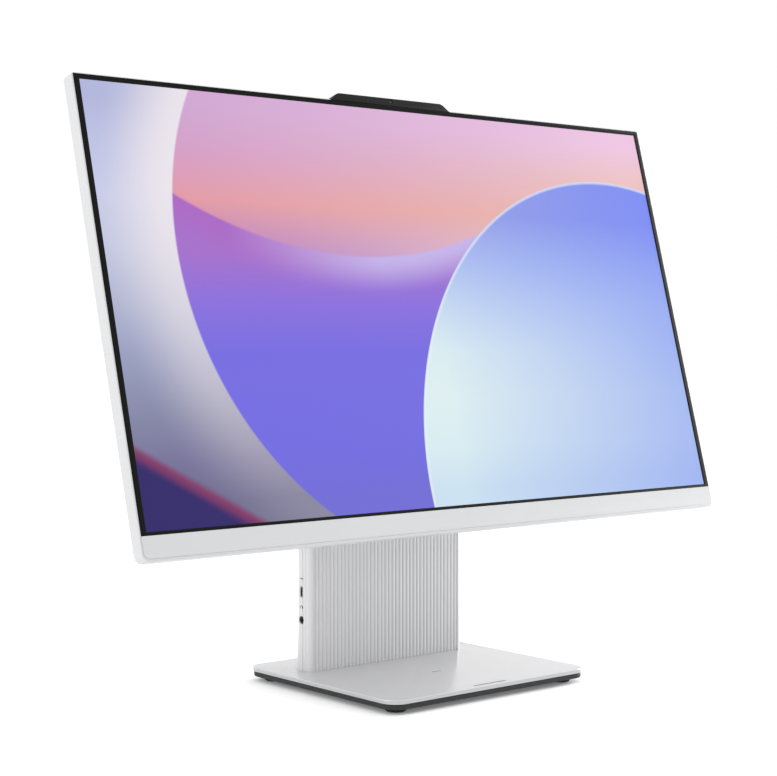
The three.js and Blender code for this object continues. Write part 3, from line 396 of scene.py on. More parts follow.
def moulded(name, light, dark, rough=(0.4, 0.5), grain=1800.0, depth=0.00004, specular=0.5):
    """A moulded plastic: a fine even grain, with a faint cloudiness in its colour."""
    finish = Finish(name, specular=specular)
    cloud = finish.noise(9.0, 3.0)
    fine = finish.noise(grain, 1.0)
    colour = finish.mix(finish.spread(cloud, 0.3, 0.7), dark, light)
    speck = finish.spread(fine, 0.35, 0.65, 0.0, 0.12)
    finish.paint(finish.mix(speck, colour, dark))
    finish.uneven(fine, *rough)
    finish.relief(fine, 0.15, depth)
    return finish.material


def brushed(name, light, dark, rough=(0.24, 0.4), stretch=(14, 900, 900)):
    """A drawn or rolled metal: long fine lines along one direction and a soft mottle."""
    finish = Finish(name, metal=1.0)
    lines = finish.noise(1.0, 3.0, finish.mapped(scale=stretch))
    mottle = finish.noise(55.0, 3.0)
    blend = finish.math("ADD", finish.math("MULTIPLY", lines, 0.7), finish.math("MULTIPLY", mottle, 0.3))
    finish.paint(finish.mix(finish.spread(blend, 0.35, 0.65), dark, light))
    finish.uneven(lines, *rough)
    finish.relief(lines, 0.25, 0.00003)
    return finish.material


# How dark the painted shade on a plate's side is, as a share of the dark tone, and over how many millimetres
# it fades in.
SIDE_SHADE_SHARE = 0.74
SIDE_SHADE_FADE = 0.2


def coated_silver(name, light, dark, rough, metal=0.0, specular=0.5, shade_below=None):
    """Satin silver paint: an even sheen over a very fine metal fleck, with a slight cloudiness.

    Below a height in millimetres, down a plate's side, the colour is painted darker as shade.
    """
    finish = Finish(name, metal=metal, specular=specular)
    cloud = finish.noise(7.0, 2.0)
    fleck = finish.noise(2200.0, 0.0)
    tone = finish.math("ADD", finish.math("MULTIPLY", fleck, 0.25), finish.math("MULTIPLY", cloud, 0.75))
    coat = finish.mix(finish.spread(tone, 0.3, 0.7), dark, light)
    if shade_below is not None:
        # Painted shade: the colour darkens below the given height, down the plate's side.
        side_shade = finish.spread(finish.split()["Z"], shade_below * MM, (shade_below - SIDE_SHADE_FADE) * MM)
        coat = finish.mix(side_shade, coat, tuple(part * SIDE_SHADE_SHARE for part in dark[:3]) + (1,))
    finish.paint(coat)
    finish.uneven(cloud, *rough)
    finish.relief(fleck, 0.08, 0.00001)
    return finish.material


def circuit(name, chips_from, upright=True):
    """Green lacquer with copper runs under it, and black packages on every part that stands past a depth."""
    finish = Finish(name, rough=0.35)
    point = finish.place if upright else finish.mapped(turn=(PANEL_TILT, 0, 0), move=panel_shift())
    depth = finish.split(point)["Y"]
    flat = flat_on_board(finish, point)
    runs = finish.add(
        "ShaderNodeTexBrick", {"offset": 0.37}, Vector=flat, Scale=240.0,
        Color1=(1, 1, 1, 1), Color2=(0.9, 0.9, 0.9, 1), Mortar=(0, 0, 0, 1)).outputs["Fac"]
    pads = finish.add("ShaderNodeTexVoronoi", Vector=flat, Scale=160.0).outputs["Distance"]
    base = finish.mix(finish.noise(40.0, 3.0), (0.006, 0.06, 0.028, 1), (0.012, 0.10, 0.046, 1))
    tracked = finish.mix(finish.math("MULTIPLY", runs, 0.55), base, (0.03, 0.19, 0.08, 1))
    plated = finish.mix(finish.spread(pads, 0.10, 0.06), tracked, (0.62, 0.42, 0.12, 1))
    package = finish.spread(depth, chips_from * MM, (chips_from + 0.1) * MM)
    finish.paint(finish.mix(package, plated, grey(0.018)))
    finish.feed(finish.shader, "Roughness", finish.spread(package, 0.0, 1.0, 0.3, 0.55))
    finish.relief(finish.math("ADD", runs, finish.noise(1200.0, 1.0)), 0.2, 0.00003)
    return finish.material


def flat_on_board(finish, point):
    """The pattern's own plane: the board's X and Z."""
    parts = finish.split(point)
    return finish.add("ShaderNodeCombineXYZ", X=parts["X"], Y=parts["Z"]).outputs[0]


def panel_shift():
    """What to add after turning a point so that it reads in the panel's frame, in metres."""
    turn = Matrix.Rotation(PANEL_TILT, 3, "X")
    return -(turn @ DISPLAY.translation)


def clear_sheet(name):
    finish = Finish(name, rough=0.15)
    dots = finish.add("ShaderNodeTexVoronoi", Vector=finish.place, Scale=500.0).outputs["Distance"]
    finish.paint(finish.mix(finish.spread(dots, 0.25, 0.35), (0.86, 0.88, 0.88, 1), (0.78, 0.83, 0.85, 1)))
    finish.relief(dots, 0.3, 0.00005)
    return finish.material


def rubber(name):
    finish = Finish(name, rough=0.85, specular=0.3)
    grit = finish.noise(900.0, 3.0)
    finish.paint(finish.mix(grit, grey(0.012), grey(0.03)))
    finish.relief(grit, 0.6, 0.0001)
    return finish.material


# ---- The lit picture: plain overlapping discs ----

# Each table runs up the screen: height in millimetres from the lit centre, then a display colour.
OUTER_COLOURS = [
    (-150, (108, 106, 142)), (-120, (120, 116, 154)), (-80, (136, 139, 170)), (-40, (154, 159, 192)),
    (0, (176, 181, 209)), (40, (194, 198, 223)), (80, (199, 203, 231)), (120, (190, 194, 227)),
    (155, (178, 182, 219))]
WARM_LEFT = [(40, (176, 118, 190)), (80, (226, 154, 165)), (120, (212, 157, 200)), (155, (206, 165, 209))]
WARM_RIGHT = [(40, (238, 208, 214)), (80, (235, 186, 174)), (120, (235, 193, 194)), (155, (236, 196, 225))]
VIOLET_COLOURS = [
    (-155, (113, 109, 213)), (-120, (114, 108, 224)), (-80, (117, 109, 225)), (-40, (119, 108, 225)),
    (0, (139, 112, 220)), (40, (166, 112, 203))]
COOL_LEFT = [
    (-155, (203, 224, 240)), (-120, (215, 235, 240)), (-80, (222, 238, 240)), (-40, (217, 235, 240)),
    (0, (197, 216, 240)), (40, (174, 192, 239)), (80, (155, 165, 225))]
COOL_RIGHT = [
    (-155, (161, 181, 239)), (-120, (167, 186, 239)), (-80, (166, 186, 238)), (-40, (159, 179, 240)),
    (0, (153, 172, 240)), (40, (140, 158, 240)), (80, (124, 139, 240))]
CREAM = shade(240, 232, 236)
INDIGO = shade(51, 41, 106)
CRIMSON = shade(132, 60, 104)

FULL_DISC = ((23.6, 41.9), 260.0)
WARM_DISC = ((-56.6, 407.0), 368.0)
COOL_DISC = ((238.0, -150.0), 268.0)
DARK_CORNER = ((-299.0, -107.5), (-196.0, -168.0))
EDGE_BLUR = 0.8


class Picture(Finish):
    """A finish with the lit picture's masks and colours, all in the panel's own coordinates."""

    def __init__(self, name, **looks):
        super().__init__(name, **looks)
        self.point = self.mapped(turn=(PANEL_TILT, 0, 0), move=panel_shift())
        self.across, self.depth, self.height = self.split(self.point)
        self.flat = self.add("ShaderNodeCombineXYZ", X=self.across, Y=0.0, Z=self.height).outputs[0]

    def beyond(self, disc):
        """Millimetres outside a disc's edge, negative inside."""
        (x, z), radius = disc
        length = self.vector("DISTANCE", self.flat, (x * MM, 0, z * MM))
        return self.math("SUBTRACT", self.math("MULTIPLY", length, 1 / MM), radius)

    def up_screen(self, table):
        low, high = table[0][0], table[-1][0]
        along = self.spread(self.height, low * MM, high * MM)
        return self.ramp(along, [((z - low) / (high - low), shade(*tone)) for z, tone in table])

    def right_of(self, left, right, reach):
        """Grows from nothing at one place across the screen to a full reach at another."""
        return self.spread(self.across, left * MM, right * MM, 0.0, reach)

    def across_screen(self, left, right, first, second, power=1.0):
        share = self.spread(self.across, left * MM, right * MM)
        return self.mix(self.math("POWER", share, power), first, second)


def disc_picture(picture):
    """The finished picture, back to front: outer field, two-tone big disc, cool disc, dark corner."""
    full, warm, cool = (picture.beyond(disc) for disc in (FULL_DISC, WARM_DISC, COOL_DISC))
    full = picture.math("SUBTRACT", full, picture.right_of(0, 100, 200))
    warm = picture.math("SUBTRACT", warm, picture.right_of(80, 260, 260))
    within = picture.spread(full, EDGE_BLUR, -EDGE_BLUR)
    scene = picture.mix(within, outer_field(picture, full), big_disc(picture, warm))
    return corner_over(picture, cool_disc_over(picture, cool, scene))


def outer_field(picture, beyond):
    """The field round the big disc, with a cream glow beside it that is stronger higher up."""
    strength = picture.spread(picture.height, -150 * MM, 90 * MM, 0.15, 0.85)
    cream = picture.math("MULTIPLY", picture.spread(beyond, 70.0, 2.0, smooth=True), strength)
    return picture.mix(cream, picture.up_screen(OUTER_COLOURS), CREAM)


def big_disc(picture, beyond):
    """Pink above a curved line, and violet with a pale glow below it."""
    glow = picture.spread(beyond, 34.0, 0.0, 0.0, 0.85, smooth=True)
    halo = picture.across_screen(-190, -40, shade(172, 104, 196), shade(200, 188, 238))
    violet = picture.mix(glow, picture.up_screen(VIOLET_COLOURS), halo)
    pink = picture.across_screen(-230, 260, picture.up_screen(WARM_LEFT), picture.up_screen(WARM_RIGHT))
    return picture.mix(picture.spread(beyond, 1.5, -1.5, smooth=True), violet, pink)


def cool_disc_over(picture, beyond, scene):
    """The cool disc laid over the rest, with a fine pale rim inside its edge."""
    blue = picture.across_screen(10, 285, picture.up_screen(COOL_LEFT), picture.up_screen(COOL_RIGHT), 0.85)
    scene = picture.mix(picture.spread(beyond, EDGE_BLUR, -EDGE_BLUR), scene, blue)
    inner_side = picture.spread(beyond, -3.0, -0.6, smooth=True)
    rim = picture.math("MULTIPLY", inner_side, picture.spread(beyond, EDGE_BLUR, 0.0))
    return picture.mix(picture.math("MULTIPLY", rim, 0.55), scene, shade(238, 244, 246))


def corner_over(picture, scene):
    """The dark corner below a slanted line, with a soft crimson edge."""
    (x0, z0), (x1, z1) = DARK_CORNER
    length = math.hypot(x1 - x0, z1 - z0)
    normal = ((z1 - z0) / length, 0, -(x1 - x0) / length)
    reach = picture.vector("DOT_PRODUCT", picture.flat, normal)
    start = (normal[0] * x0 + normal[2] * z0) * MM
    below = picture.math("SUBTRACT", reach, start)
    scene = picture.mix(picture.spread(below, -4 * MM, 3 * MM, smooth=True), scene, CRIMSON)
    return picture.mix(picture.spread(below, 1 * MM, 12 * MM, smooth=True), scene, INDIGO)


def lit_screen():
    """The panel's face: the picture as light over a faint grid of cells, and black round the lit area."""
    picture = Picture("screen_glass", rough=0.35, specular=0.06)
    colour = disc_picture(picture)
    skin = 0.1
    face = panel_box("lcd_panel")[0].y + skin
    front = picture.math("LESS_THAN", picture.depth, face * MM)
    wide = picture.math("LESS_THAN", picture.math("ABSOLUTE", picture.across), LIT_HALF_WIDTH * MM)
    tall = picture.math("LESS_THAN", picture.math("ABSOLUTE", picture.height), LIT_HALF_HEIGHT * MM)
    lit = picture.math("MULTIPLY", front, picture.math("MULTIPLY", wide, tall))
    picture.feed(picture.shader, "Emission Color", picture.mix(lit, (0, 0, 0, 1), colour))
    picture.shader.inputs["Emission Strength"].default_value = 1.0
    cells = picture.add("ShaderNodeTexBrick", {"offset": 0.0}, Vector=picture.point, Scale=1600.0)
    picture.paint(picture.mix(cells.outputs["Fac"], grey(0.004), grey(0.002)))
    return picture.material


PACKAGES_ABOVE = 1.7  # from a board's low face to where its black packages start
SHADED_SIDE_BAND = 0.35      # how far below the base plate's top its side is painted darker as shade

# Light and dark tones, roughness, grain, its depth in metres, and specular level.
MOULDED = {
    "bezel_black": (grey(0.0055), grey(0.0045), (0.40, 0.5), 1500.0, 0.00001, 0.08),
    "camera_charcoal": (grey(0.012), grey(0.010), (0.42, 0.55), 1400.0, 0.00002, 0.12),
    "housing_grey": ((0.562, 0.564, 0.572, 1), (0.548, 0.55, 0.558, 1), (0.42, 0.5), 1800.0, 0.00001),
    "inner_black": (grey(0.022), grey(0.014), (0.45, 0.6), 1200.0, 0.00006),
    "underlay_charcoal": (grey(0.027, 0.03), grey(0.024, 0.03), (0.5, 0.62), 1200.0, 0.00002, 0.25),
}
# Light and dark tones, roughness, and how the lines stretch.
BRUSHED = {
    "bright_aluminium": (grey(0.62), grey(0.46)),
    "hinge_steel": (grey(0.46, 0.02), grey(0.30, 0.02), (0.28, 0.42)),
    "connector_metal": (grey(0.62), grey(0.48), (0.2, 0.3), (400, 60, 400)),
    "copper": ((0.72, 0.30, 0.15, 1), (0.52, 0.20, 0.09, 1), (0.25, 0.38), (200, 200, 20)),
}
FINISH = {
    "screen_glass": lit_screen(),
    "light_guide": clear_sheet("light_guide"),
    "circuit_board": circuit("circuit_board", stand_box("motherboard")[0].y + PACKAGES_ABOVE),
    "column_silver": coated_silver(
        "column_silver", (0.61, 0.61, 0.62, 1), (0.595, 0.595, 0.605, 1), (0.42, 0.48), specular=0.35),
    "base_silver": coated_silver(
        "base_silver", (0.63, 0.63, 0.64, 1), (0.615, 0.615, 0.625, 1), (0.20, 0.25), 0.45, 0.6,
        # Painted shade darkens the base plate's side below this height.
        shade_below=stand_box("base_plate")[1].z - SHADED_SIDE_BAND),
    "foot_rubber": rubber("foot_rubber"),
}
FINISH.update((name, moulded(name, *facts)) for name, facts in MOULDED.items())
FINISH.update((name, brushed(name, *facts)) for name, facts in BRUSHED.items())

STAND_CARDS = {"memory_module_left": 1.3, "memory_module_right": 1.3, "ssd_card": 1.0, "wifi_card": 1.0}
DISPLAY_CARDS = {"display_board": PACKAGES_ABOVE, "camera_module": 1.1}


def dress(name, finish):
    nodes[name].material_slots[0].material = finish


def dress_cad_nodes():
    """Every node gets its slot's finish, and each card its own board pattern."""
    for name in nodes:
        dress(name, FINISH[SLOT_OF[name]])
    for name, above in STAND_CARDS.items():
        dress(name, circuit("circuit_" + name, stand_box(name)[0].y + above))
    for name, above in DISPLAY_CARDS.items():
        dress(name, circuit("circuit_" + name, panel_box(name)[0].y + above, upright=False))


dress_cad_nodes()


# ---- Display front ----

def front_bezel():
    """The black frame: a thin face and a skirt behind it, open over the lit area."""
    low, high = panel_box("front_bezel")
    skirt = Vector((0.9, 0, 0.9))
    behind_face = Vector((0, 0.7, 0))
    body = soften(slab(low, high), 0.25, 3, on("y", low.y))
    window = slab((-LIT_HALF_WIDTH, -PAST, -LIT_HALF_HEIGHT), (LIT_HALF_WIDTH, high.y, LIT_HALF_HEIGHT))
    pocket = slab(low + skirt + behind_face, high - skirt + Vector((0, PAST, 0)))
    ring = shaped(body, [window, pocket, bevelled_window(low.y)])
    add_piece("bezel_front", ring, "display", "front_bezel")


def bevelled_window(face):
    """A tapered plug that leaves a fine slope round the inside of the bezel's opening."""
    slope = 0.35
    plug = slab(
        (-LIT_HALF_WIDTH - slope - PAST, face - PAST, -LIT_HALF_HEIGHT - slope - PAST),
        (LIT_HALF_WIDTH + slope + PAST, face + slope, LIT_HALF_HEIGHT + slope + PAST))
    for vert in plug.verts:
        if vert.co.y > face:
            vert.co.x -= math.copysign(slope + PAST, vert.co.x)
            vert.co.z -= math.copysign(slope + PAST, vert.co.z)
    return plug


def chin_cover():
    """The light strip under the screen: a hollow moulding with round lower corners."""
    low, high = panel_box("chin_cover")
    wall = 1.6
    radius = 5.0
    body = soften(moulding(low, high, radius, upper=GAP, steps=10), 0.9, 5, on("y", low.y))
    hollow = moulding(low, high, radius - wall, wall, (wall, PAST), GAP)
    add_piece("chin_moulding", shaped(body, [hollow]), "display", "chin_cover")


# ---- Display back ----

HOUSING_EDGE = 13.5  # depth of the straight sides
HOUSING_WALL = 2.2
BULGE = ((-150.0, 150.0), (-115.0, 70.0))  # the flat behind the hinge: left and right, bottom and top
HEAT = {"each_side": 24, "pitch": 5.0, "half": 1.1, "round": 1.05, "depths": (8.5, 30), "heights": (96, 108)}
SOUND = {"count": 16, "margin": 8, "half": 2.2, "round": 0.65, "depths": (10.4, 11.8), "span": (-200, -184)}
SCREW_HOLE = 2.2


def housing_form(inset, front, lower, upper, soft):
    """Straight sides, then a shallow crown that rises to a flat rectangle behind the hinge."""
    low, high = panel_box("rear_cover")
    left, right = low.x + inset, high.x - inset
    bottom, top = low.z + inset, high.z - inset
    edge, full = HOUSING_EDGE - inset, high.y - inset
    body = rounded_bar("y", (front, edge), (left, right), (bottom, top), lower, upper, 8)
    back = max(body.faces, key=lambda face: face.calc_center_median().y)
    raised = ops.extrude_discrete_faces(body, faces=[back])["faces"][0]
    (bulge_left, bulge_right), (bulge_bottom, bulge_top) = BULGE
    wide = (bulge_right - bulge_left) / (right - left)
    tall = (bulge_top - bulge_bottom) / (top - bottom)
    for vert in raised.verts:
        vert.co.x = vert.co.x * wide
        vert.co.z = bulge_bottom + (vert.co.z - bottom) * tall
        vert.co.y = full
    ops.recalc_face_normals(body, faces=body.faces)
    if soft:
        soften(body, 6.0, 5, on("y", full), degrees=4)
        soften(body, 2.6, 4, on("y", edge))
        soften(body, 0.45, 3, on("y", front))
    return body


def bracket_screws():
    """The places of the hinge bracket's four screws, in the panel's X and Z."""
    return [middle_of(f"bracket_screw_{number}", panel_box).xz for number in range(1, 5)]


def slot_row(row):
    """Each slot's span across, for a row of slots about the middle."""
    for column in range(-row["each_side"], row["each_side"] + 1):
        yield about(column * row["pitch"], row["half"])


def rear_vents():
    """A row of fine slots through the crown's upper slope, and sound slots through the bottom wall."""
    slots = [rounded_bar("y", HEAT["depths"], across, HEAT["heights"], HEAT["round"], steps=4)
             for across in slot_row(HEAT)]
    low, high = panel_box("speaker_right")
    run = high.x - low.x - 2 * SOUND["margin"]
    for side in (-1, 1):
        for hole in range(SOUND["count"]):
            x = side * (low.x + SOUND["margin"] + hole * run / (SOUND["count"] - 1))
            across = about(x, SOUND["half"])
            slots.append(rounded_bar("z", SOUND["span"], across, SOUND["depths"], SOUND["round"], steps=3))
    return slots


def rear_cover():
    """A hollow shell with a rebate for the front parts and a notch for the camera bar."""
    bezel_low, bezel_high = panel_box("front_bezel")
    chin_low = panel_box("chin_cover")[0]
    bar_back = panel_box("camera_back_cover")[1].y
    low, high = panel_box("rear_cover")
    rebate = rounded_bar(
        "y", (-PAST, bezel_high.y + GAP), (bezel_low.x - GAP / 2, bezel_high.x + GAP / 2),
        (chin_low.z - GAP / 4, bezel_high.z + GAP / 4), 5.0, GAP, 8)
    notch_foot = high.z - HOUSING_WALL - PAST
    notch = slab((-BAR_FOOT - GAP, -PAST, notch_foot), (BAR_FOOT + GAP, bar_back + GAP, high.z + PAST))
    holes = [rod("y", SCREW_HOLE, (HOUSING_EDGE, high.y + PAST), place, 20) for place in bracket_screws()]
    cavity = housing_form(HOUSING_WALL, bezel_high.y, 4.3, 0.8, False)
    shell = shaped(housing_form(0, low.y, 6.5, 3.0, True), [rebate, cavity, notch] + holes + rear_vents())
    add_piece("rear_shell", shell, "display", "rear_cover")


# ---- Camera bar ----

LENS_HEIGHT = 175.9
BAR_FOOT = 65.0  # half the bar's width at its foot, then at its top
BAR_TOP = 57.0
BAR_WALL = 1.1
BAR_ROOM = 52  # half the width inside
TONGUE = 45  # half the width of the back's tongue
EAR_HOLES = (-34, 34)
BACK_STARTS = 8.2
SHUTTER_TRAVEL = 6


def across_top(edge, top):
    """Whether an edge runs from front to back along the top."""
    start, end = (v.co for v in edge.verts)
    return all(map(on("z", top), (start, end))) and abs(start.x - end.x) < NEAR


def camera_form(span):
    """The bar's outline, narrower at its top, with its top corners rounded."""
    low, high = panel_box("camera_housing")
    corners = [(-BAR_FOOT, low.z), (BAR_FOOT, low.z), (BAR_TOP, high.z), (-BAR_TOP, high.z)]
    bm = bar("y", corners, span)
    return round_over(bm, [edge for edge in bm.edges if across_top(edge, high.z)], 2.5, 5)


def camera_bar_front():
    low, high = panel_box("camera_housing")
    front = soften(camera_form((low.y, high.y)), 0.4, 3, on("y", low.y))
    pocket = slab((-BAR_ROOM, BAR_WALL, low.z + BAR_WALL), (BAR_ROOM, high.y + PAST, high.z - BAR_WALL))
    lens_hole = rod("y", 1.4, (-PAST, BAR_WALL + PAST), (0, LENS_HEIGHT))
    sink = rod("y", 2.3, (-0.5, 0.35), (0, LENS_HEIGHT), 40, 1.6)
    ears = [rod("y", 0.35, (-PAST, 1.4), (x, LENS_HEIGHT), 16) for x in EAR_HOLES]
    housing = shaped(front, [pocket, lens_hole, sink] + ears)
    add_piece("camera_bar_front", housing, "display", "camera_housing")


def camera_bar_back():
    """A plate with a tongue down into the housing and a slot for the shutter's thumb tab."""
    bar_foot = panel_box("camera_housing")[0].z
    low, high = panel_box("camera_back_cover")
    plate = soften(camera_form((BACK_STARTS, high.y)), 0.5, 3, on("y", high.y))
    tongue = slab((-TONGUE, 8.0, low.z), (TONGUE, high.y, bar_foot + PAST))
    tab_low, tab_high = panel_box("camera_shutter")
    slot_end = tab_high.x + SHUTTER_TRAVEL + GAP
    slot = slab((tab_low.x - GAP, 7.0, bar_foot + BAR_WALL), (slot_end, high.y + PAST, 174.4))
    add_piece("camera_bar_back", shaped(plate, [slot], [tongue]), "display", "camera_back_cover")


def camera_lens():
    """The lens as a shallow glass dome, and the small lamp beside it."""
    glass = Finish("lens_glass", rough=0.08, specular=0.8)
    glass.paint(glass.mix(glass.noise(900.0), (0.004, 0.004, 0.012, 1), (0.02, 0.012, 0.035, 1)))
    dome = bmesh.new()
    ops.create_uvsphere(dome, u_segments=24, v_segments=12, radius=1.25)
    ops.scale(dome, vec=(1, 0.32, 1), verts=dome.verts)
    ops.translate(dome, vec=(0, 0.75, LENS_HEIGHT), verts=dome.verts)
    add_piece("camera_lens", dome, "display", slot="screen_glass", finish=glass.material)
    lamp = Finish("camera_lamp", rough=0.3)
    lamp.paint(lamp.mix(lamp.noise(600.0), grey(0.05), grey(0.09)))
    bead = soften(rod("y", 0.36, (-0.05, 0.6), (4.4, LENS_HEIGHT), 20), 0.12, 2)
    add_piece("camera_lamp", bead, "display", slot="light_guide", finish=lamp.material)


# ---- Column ----

RIBS = 40
RIB_DEPTH = 0.95
CORNER = 5.4
CORNER_LEAD = 0.45  # the flat run between a rib and the round corner
SIDE_RIB = 4.2
SIDE_STEPS = (48.6, 50.3)  # extra places on the side, where the foot's flare bends
WALL = 2.2
FOOT_SINK = 0.25  # the shell reaches this far into the base plate's soft top edge
REAR_FACE = 54
HINGE_WINDOW = (19, 9)  # half its width and half its height
JACK_HOLE = 3.3
BUTTON_HOLE = 3.15


def rib_arc(pen, start, end, steps):
    """One convex rib between two groove points: an arc that stands out to the drawing's right-hand side."""
    chord = Vector((end[0] - start[0], end[1] - start[1]))
    half = chord.length / 2
    radius = (half * half + RIB_DEPTH * RIB_DEPTH) / (2 * RIB_DEPTH)
    middle = (Vector(start) + Vector(end)) / 2
    centre = middle + Vector((-chord.y, chord.x)).normalized() * (radius - RIB_DEPTH)
    sweep = 2 * math.degrees(math.asin(half / radius))
    pen.arc(centre.x, centre.y, sweep, steps)


def column_form(low, high):
    """Ribs across the front, smooth round corners, and one rib and a flat on each side."""
    half = high.x
    front, back = low.y, high.y
    flat = half - CORNER
    groove = front + RIB_DEPTH
    pitch = 2 * flat / RIBS
    pen = Pen(0, groove)
    for rib in range(RIBS // 2):
        rib_arc(pen, (rib * pitch, groove), ((rib + 1) * pitch, groove), 8)
    pen.line(flat + CORNER_LEAD, front)
    pen.arc(flat + CORNER_LEAD, front + CORNER - CORNER_LEAD, 90, 12)
    side = half - RIB_DEPTH * 0.75
    first = front + CORNER + GAP
    pen.line(side, first)
    rib_arc(pen, (side, first), (side, first + SIDE_RIB), 8)
    for y in (first + SIDE_RIB + CORNER_LEAD, *SIDE_STEPS, back - 2):
        pen.line(half, y)
    pen.arc(half - 2, back - 2, 90, 6)
    pen.line(0, back)
    pen.mirror()
    return pen.prism(low.z - FOOT_SINK, high.z)


FLARE = {"height": 37.0, "width": 2.0, "from_y": 47.4}
FLARE_CUTS = (0.08, 0.18, 0.3, 0.44, 0.58, 0.72, 0.86, 1.0)  # shares of the height


def flare_foot(bm, low):
    """The lowest part of each side spreads out smoothly towards the back."""
    for share in FLARE_CUTS:
        height = low.z + share * FLARE["height"]
        ops.bisect_plane(
            bm, geom=bm.verts[:] + bm.edges[:] + bm.faces[:], plane_co=(0, 0, height), plane_no=(0, 0, 1))
    reach = REAR_FACE - FLARE["from_y"]
    for vert in bm.verts:
        up = 1 - (vert.co.z - low.z) / FLARE["height"]
        along = (vert.co.y - FLARE["from_y"]) / reach
        if up <= 0 or along <= 0 or abs(vert.co.x) < 70:
            continue
        share = min(along, 1.0)
        vert.co.x += math.copysign(FLARE["width"] * up * up * share * share * (3 - 2 * share), vert.co.x)


def column_front():
    """The ribbed shell, open behind, with openings for the hinge, the sockets and the button."""
    low, high = stand_box("column_front_shell")
    body = column_form(low, high)
    flare_foot(body, low)
    inner = high.x - WALL
    cavity = slab((-inner, low.y + WALL, low.z - PAST), (inner, high.y + PAST, high.z - WALL))
    hinge = middle_of("hinge_shaft")
    wide, tall = HINGE_WINDOW
    window = slab((-wide, low.y - PAST, hinge.z - tall), (wide, low.y + WALL + PAST, hinge.z + tall))
    left_wall = (low.x - PAST, -inner + PAST)
    usb = port_bar(*stand_box("usb_c_port"), GAP, left_wall)
    jack_hole = rod("x", JACK_HOLE, left_wall, middle_of("audio_jack").yz, 40)
    button_hole = rod("x", BUTTON_HOLE, (inner - PAST, high.x + PAST), middle_of("power_button").yz, 40)
    shell = shaped(body, [cavity, window, usb, jack_hole, button_hole])
    add_piece("column_ribbed_shell", shell, "stand", "column_front_shell", angle=38)


def port_bar(low, high, grow, span):
    """A bar with the socket's round-ended outline, grown all round."""
    thick = (low.y - grow, high.y + grow)
    tall = (low.z - grow, high.z + grow)
    return rounded_bar("x", span, thick, tall, (thick[1] - thick[0]) / 2 - 0.02, steps=8)


# The cooling box: heights above the column's foot, then the depths of its bay, its top edge and its back.
REAR = {"bay": 33.9, "step": 37.9, "slope": 225.9, "top": 247.9}
REAR_DEPTHS = (66, 74, 80)
REAR_START = 53
SOFT_FROM = 60  # edges behind this depth are rounded
REAR_HALF = 60
REAR_WALL = 2.2
INTAKE = {"each_side": 6, "pitch": 7.0, "half": 1.5, "round": 1.45, "heights": ((90, 122), (147, 193))}
EXHAUST = {"each_side": 8, "pitch": 4.6, "half": 1.4, "round": 1.35, "depths": (62.4, 69.6)}


def rear_box(inset, soft):
    """The cooling box behind the column: a shallow connector bay below and a sloping top."""
    half = REAR_HALF - inset
    foot = stand_box("column_rear_cover")[0].z
    low = foot - PAST if inset else foot
    bay, step = foot + REAR["bay"] + inset, foot + REAR["step"] + inset
    slope, top = foot + REAR["slope"] - inset, foot + REAR["top"] - inset
    shallow, crest, full = (depth - inset for depth in REAR_DEPTHS)
    points = [(REAR_START, low), (shallow, low), (shallow, bay), (full, step), (full, slope), (crest, top),
              (REAR_START, top)]
    bm = bar("x", points, (-half, half))
    if soft:
        soften(bm, 3.5, 5, lambda p: p.y > SOFT_FROM)
    return bm


def column_rear():
    """A sheet that closes the shell, and the cooling box with its vents and socket opening."""
    low = stand_box("column_rear_cover")[0]
    shell_high = stand_box("column_front_shell")[1]
    inner = shell_high.x - WALL - GAP
    sheet = slab((-inner, REAR_FACE - WALL, low.z), (inner, REAR_FACE, shell_high.z - WALL - GAP))
    body = shaped(rear_box(0, True), joins=[sheet])
    top = low.z + REAR["top"]
    mouth = slab((-57.8, 50.8, low.z - PAST), (57.8, 53.5, top - REAR_WALL))
    io_low, io_high = stand_box("io_plate")
    ports = slab((io_low.x + 2, 62.8, io_low.z + 2), (io_high.x - 2, 67, io_high.z - 2))
    slots = [rounded_bar("y", (76.8, 81), across, (low.z + foot, low.z + head), INTAKE["round"], steps=6)
             for across in slot_row(INTAKE) for foot, head in INTAKE["heights"]]
    slots += [rounded_bar("z", (top - 3.2, top + 2), across, EXHAUST["depths"], EXHAUST["round"], steps=5)
              for across in slot_row(EXHAUST)]
    cover = shaped(body, [rear_box(REAR_WALL, False), mouth, ports] + slots)
    add_piece("column_rear_shell", cover, "stand", "column_rear_cover", angle=38)


def power_button():
    """A round key with a ring cut in its face, on a flange behind the wall."""
    low, high = stand_box("power_button")
    centre = middle_of("power_button").yz
    cap = soften(rod("x", 3.0, (81.2, high.x), centre, 48), 0.35, 4, on("x", high.x))
    ring = rod("x", 1.5, (high.x - 0.15, high.x + PAST), centre, 32)
    core = rod("x", 1.2, (high.x - 0.3, high.x - 0.02), centre, 32)
    flange = slab(low, (low.x + 1.2, high.y, high.z))
    key = shaped(cap, [ring], [flange, core])
    add_piece("power_key", key, "power_button", "power_button")


# ---- Sockets on the column's side ----

def side_usb():
    """A metal shell with a round-ended mouth, and the tongue and its contacts inside."""
    low, high = stand_box("usb_c_port")
    mouth = low.x
    shell = soften(port_bar(low, high, 0, (mouth, high.x)), 0.12, 2, on("x", mouth))
    pocket = port_bar(low, high, -0.4, (mouth - PAST, high.x - 1))
    metal = FINISH["connector_metal"]
    add_piece("usb_c_shell", shaped(shell, [pocket]), "stand", "usb_c_port", finish=metal)
    centre = middle_of("usb_c_port")
    tongue = slab(
        (mouth + 1, centre.y - 0.36, centre.z - 3.1), (high.x - 0.9, centre.y + 0.36, centre.z + 3.1))
    add_piece("usb_c_tongue", soften(tongue, 0.1, 2), "stand", slot="inner_black")
    pads = [slab((mouth + 1.4, centre.y - 0.4, z - 0.12), (mouth + 5, centre.y + 0.4, z + 0.12))
            for z in (centre.z + (pin - 5.5) * 0.5 for pin in range(12))]
    add_piece("usb_c_contacts", merged(*pads), "stand", slot="copper")


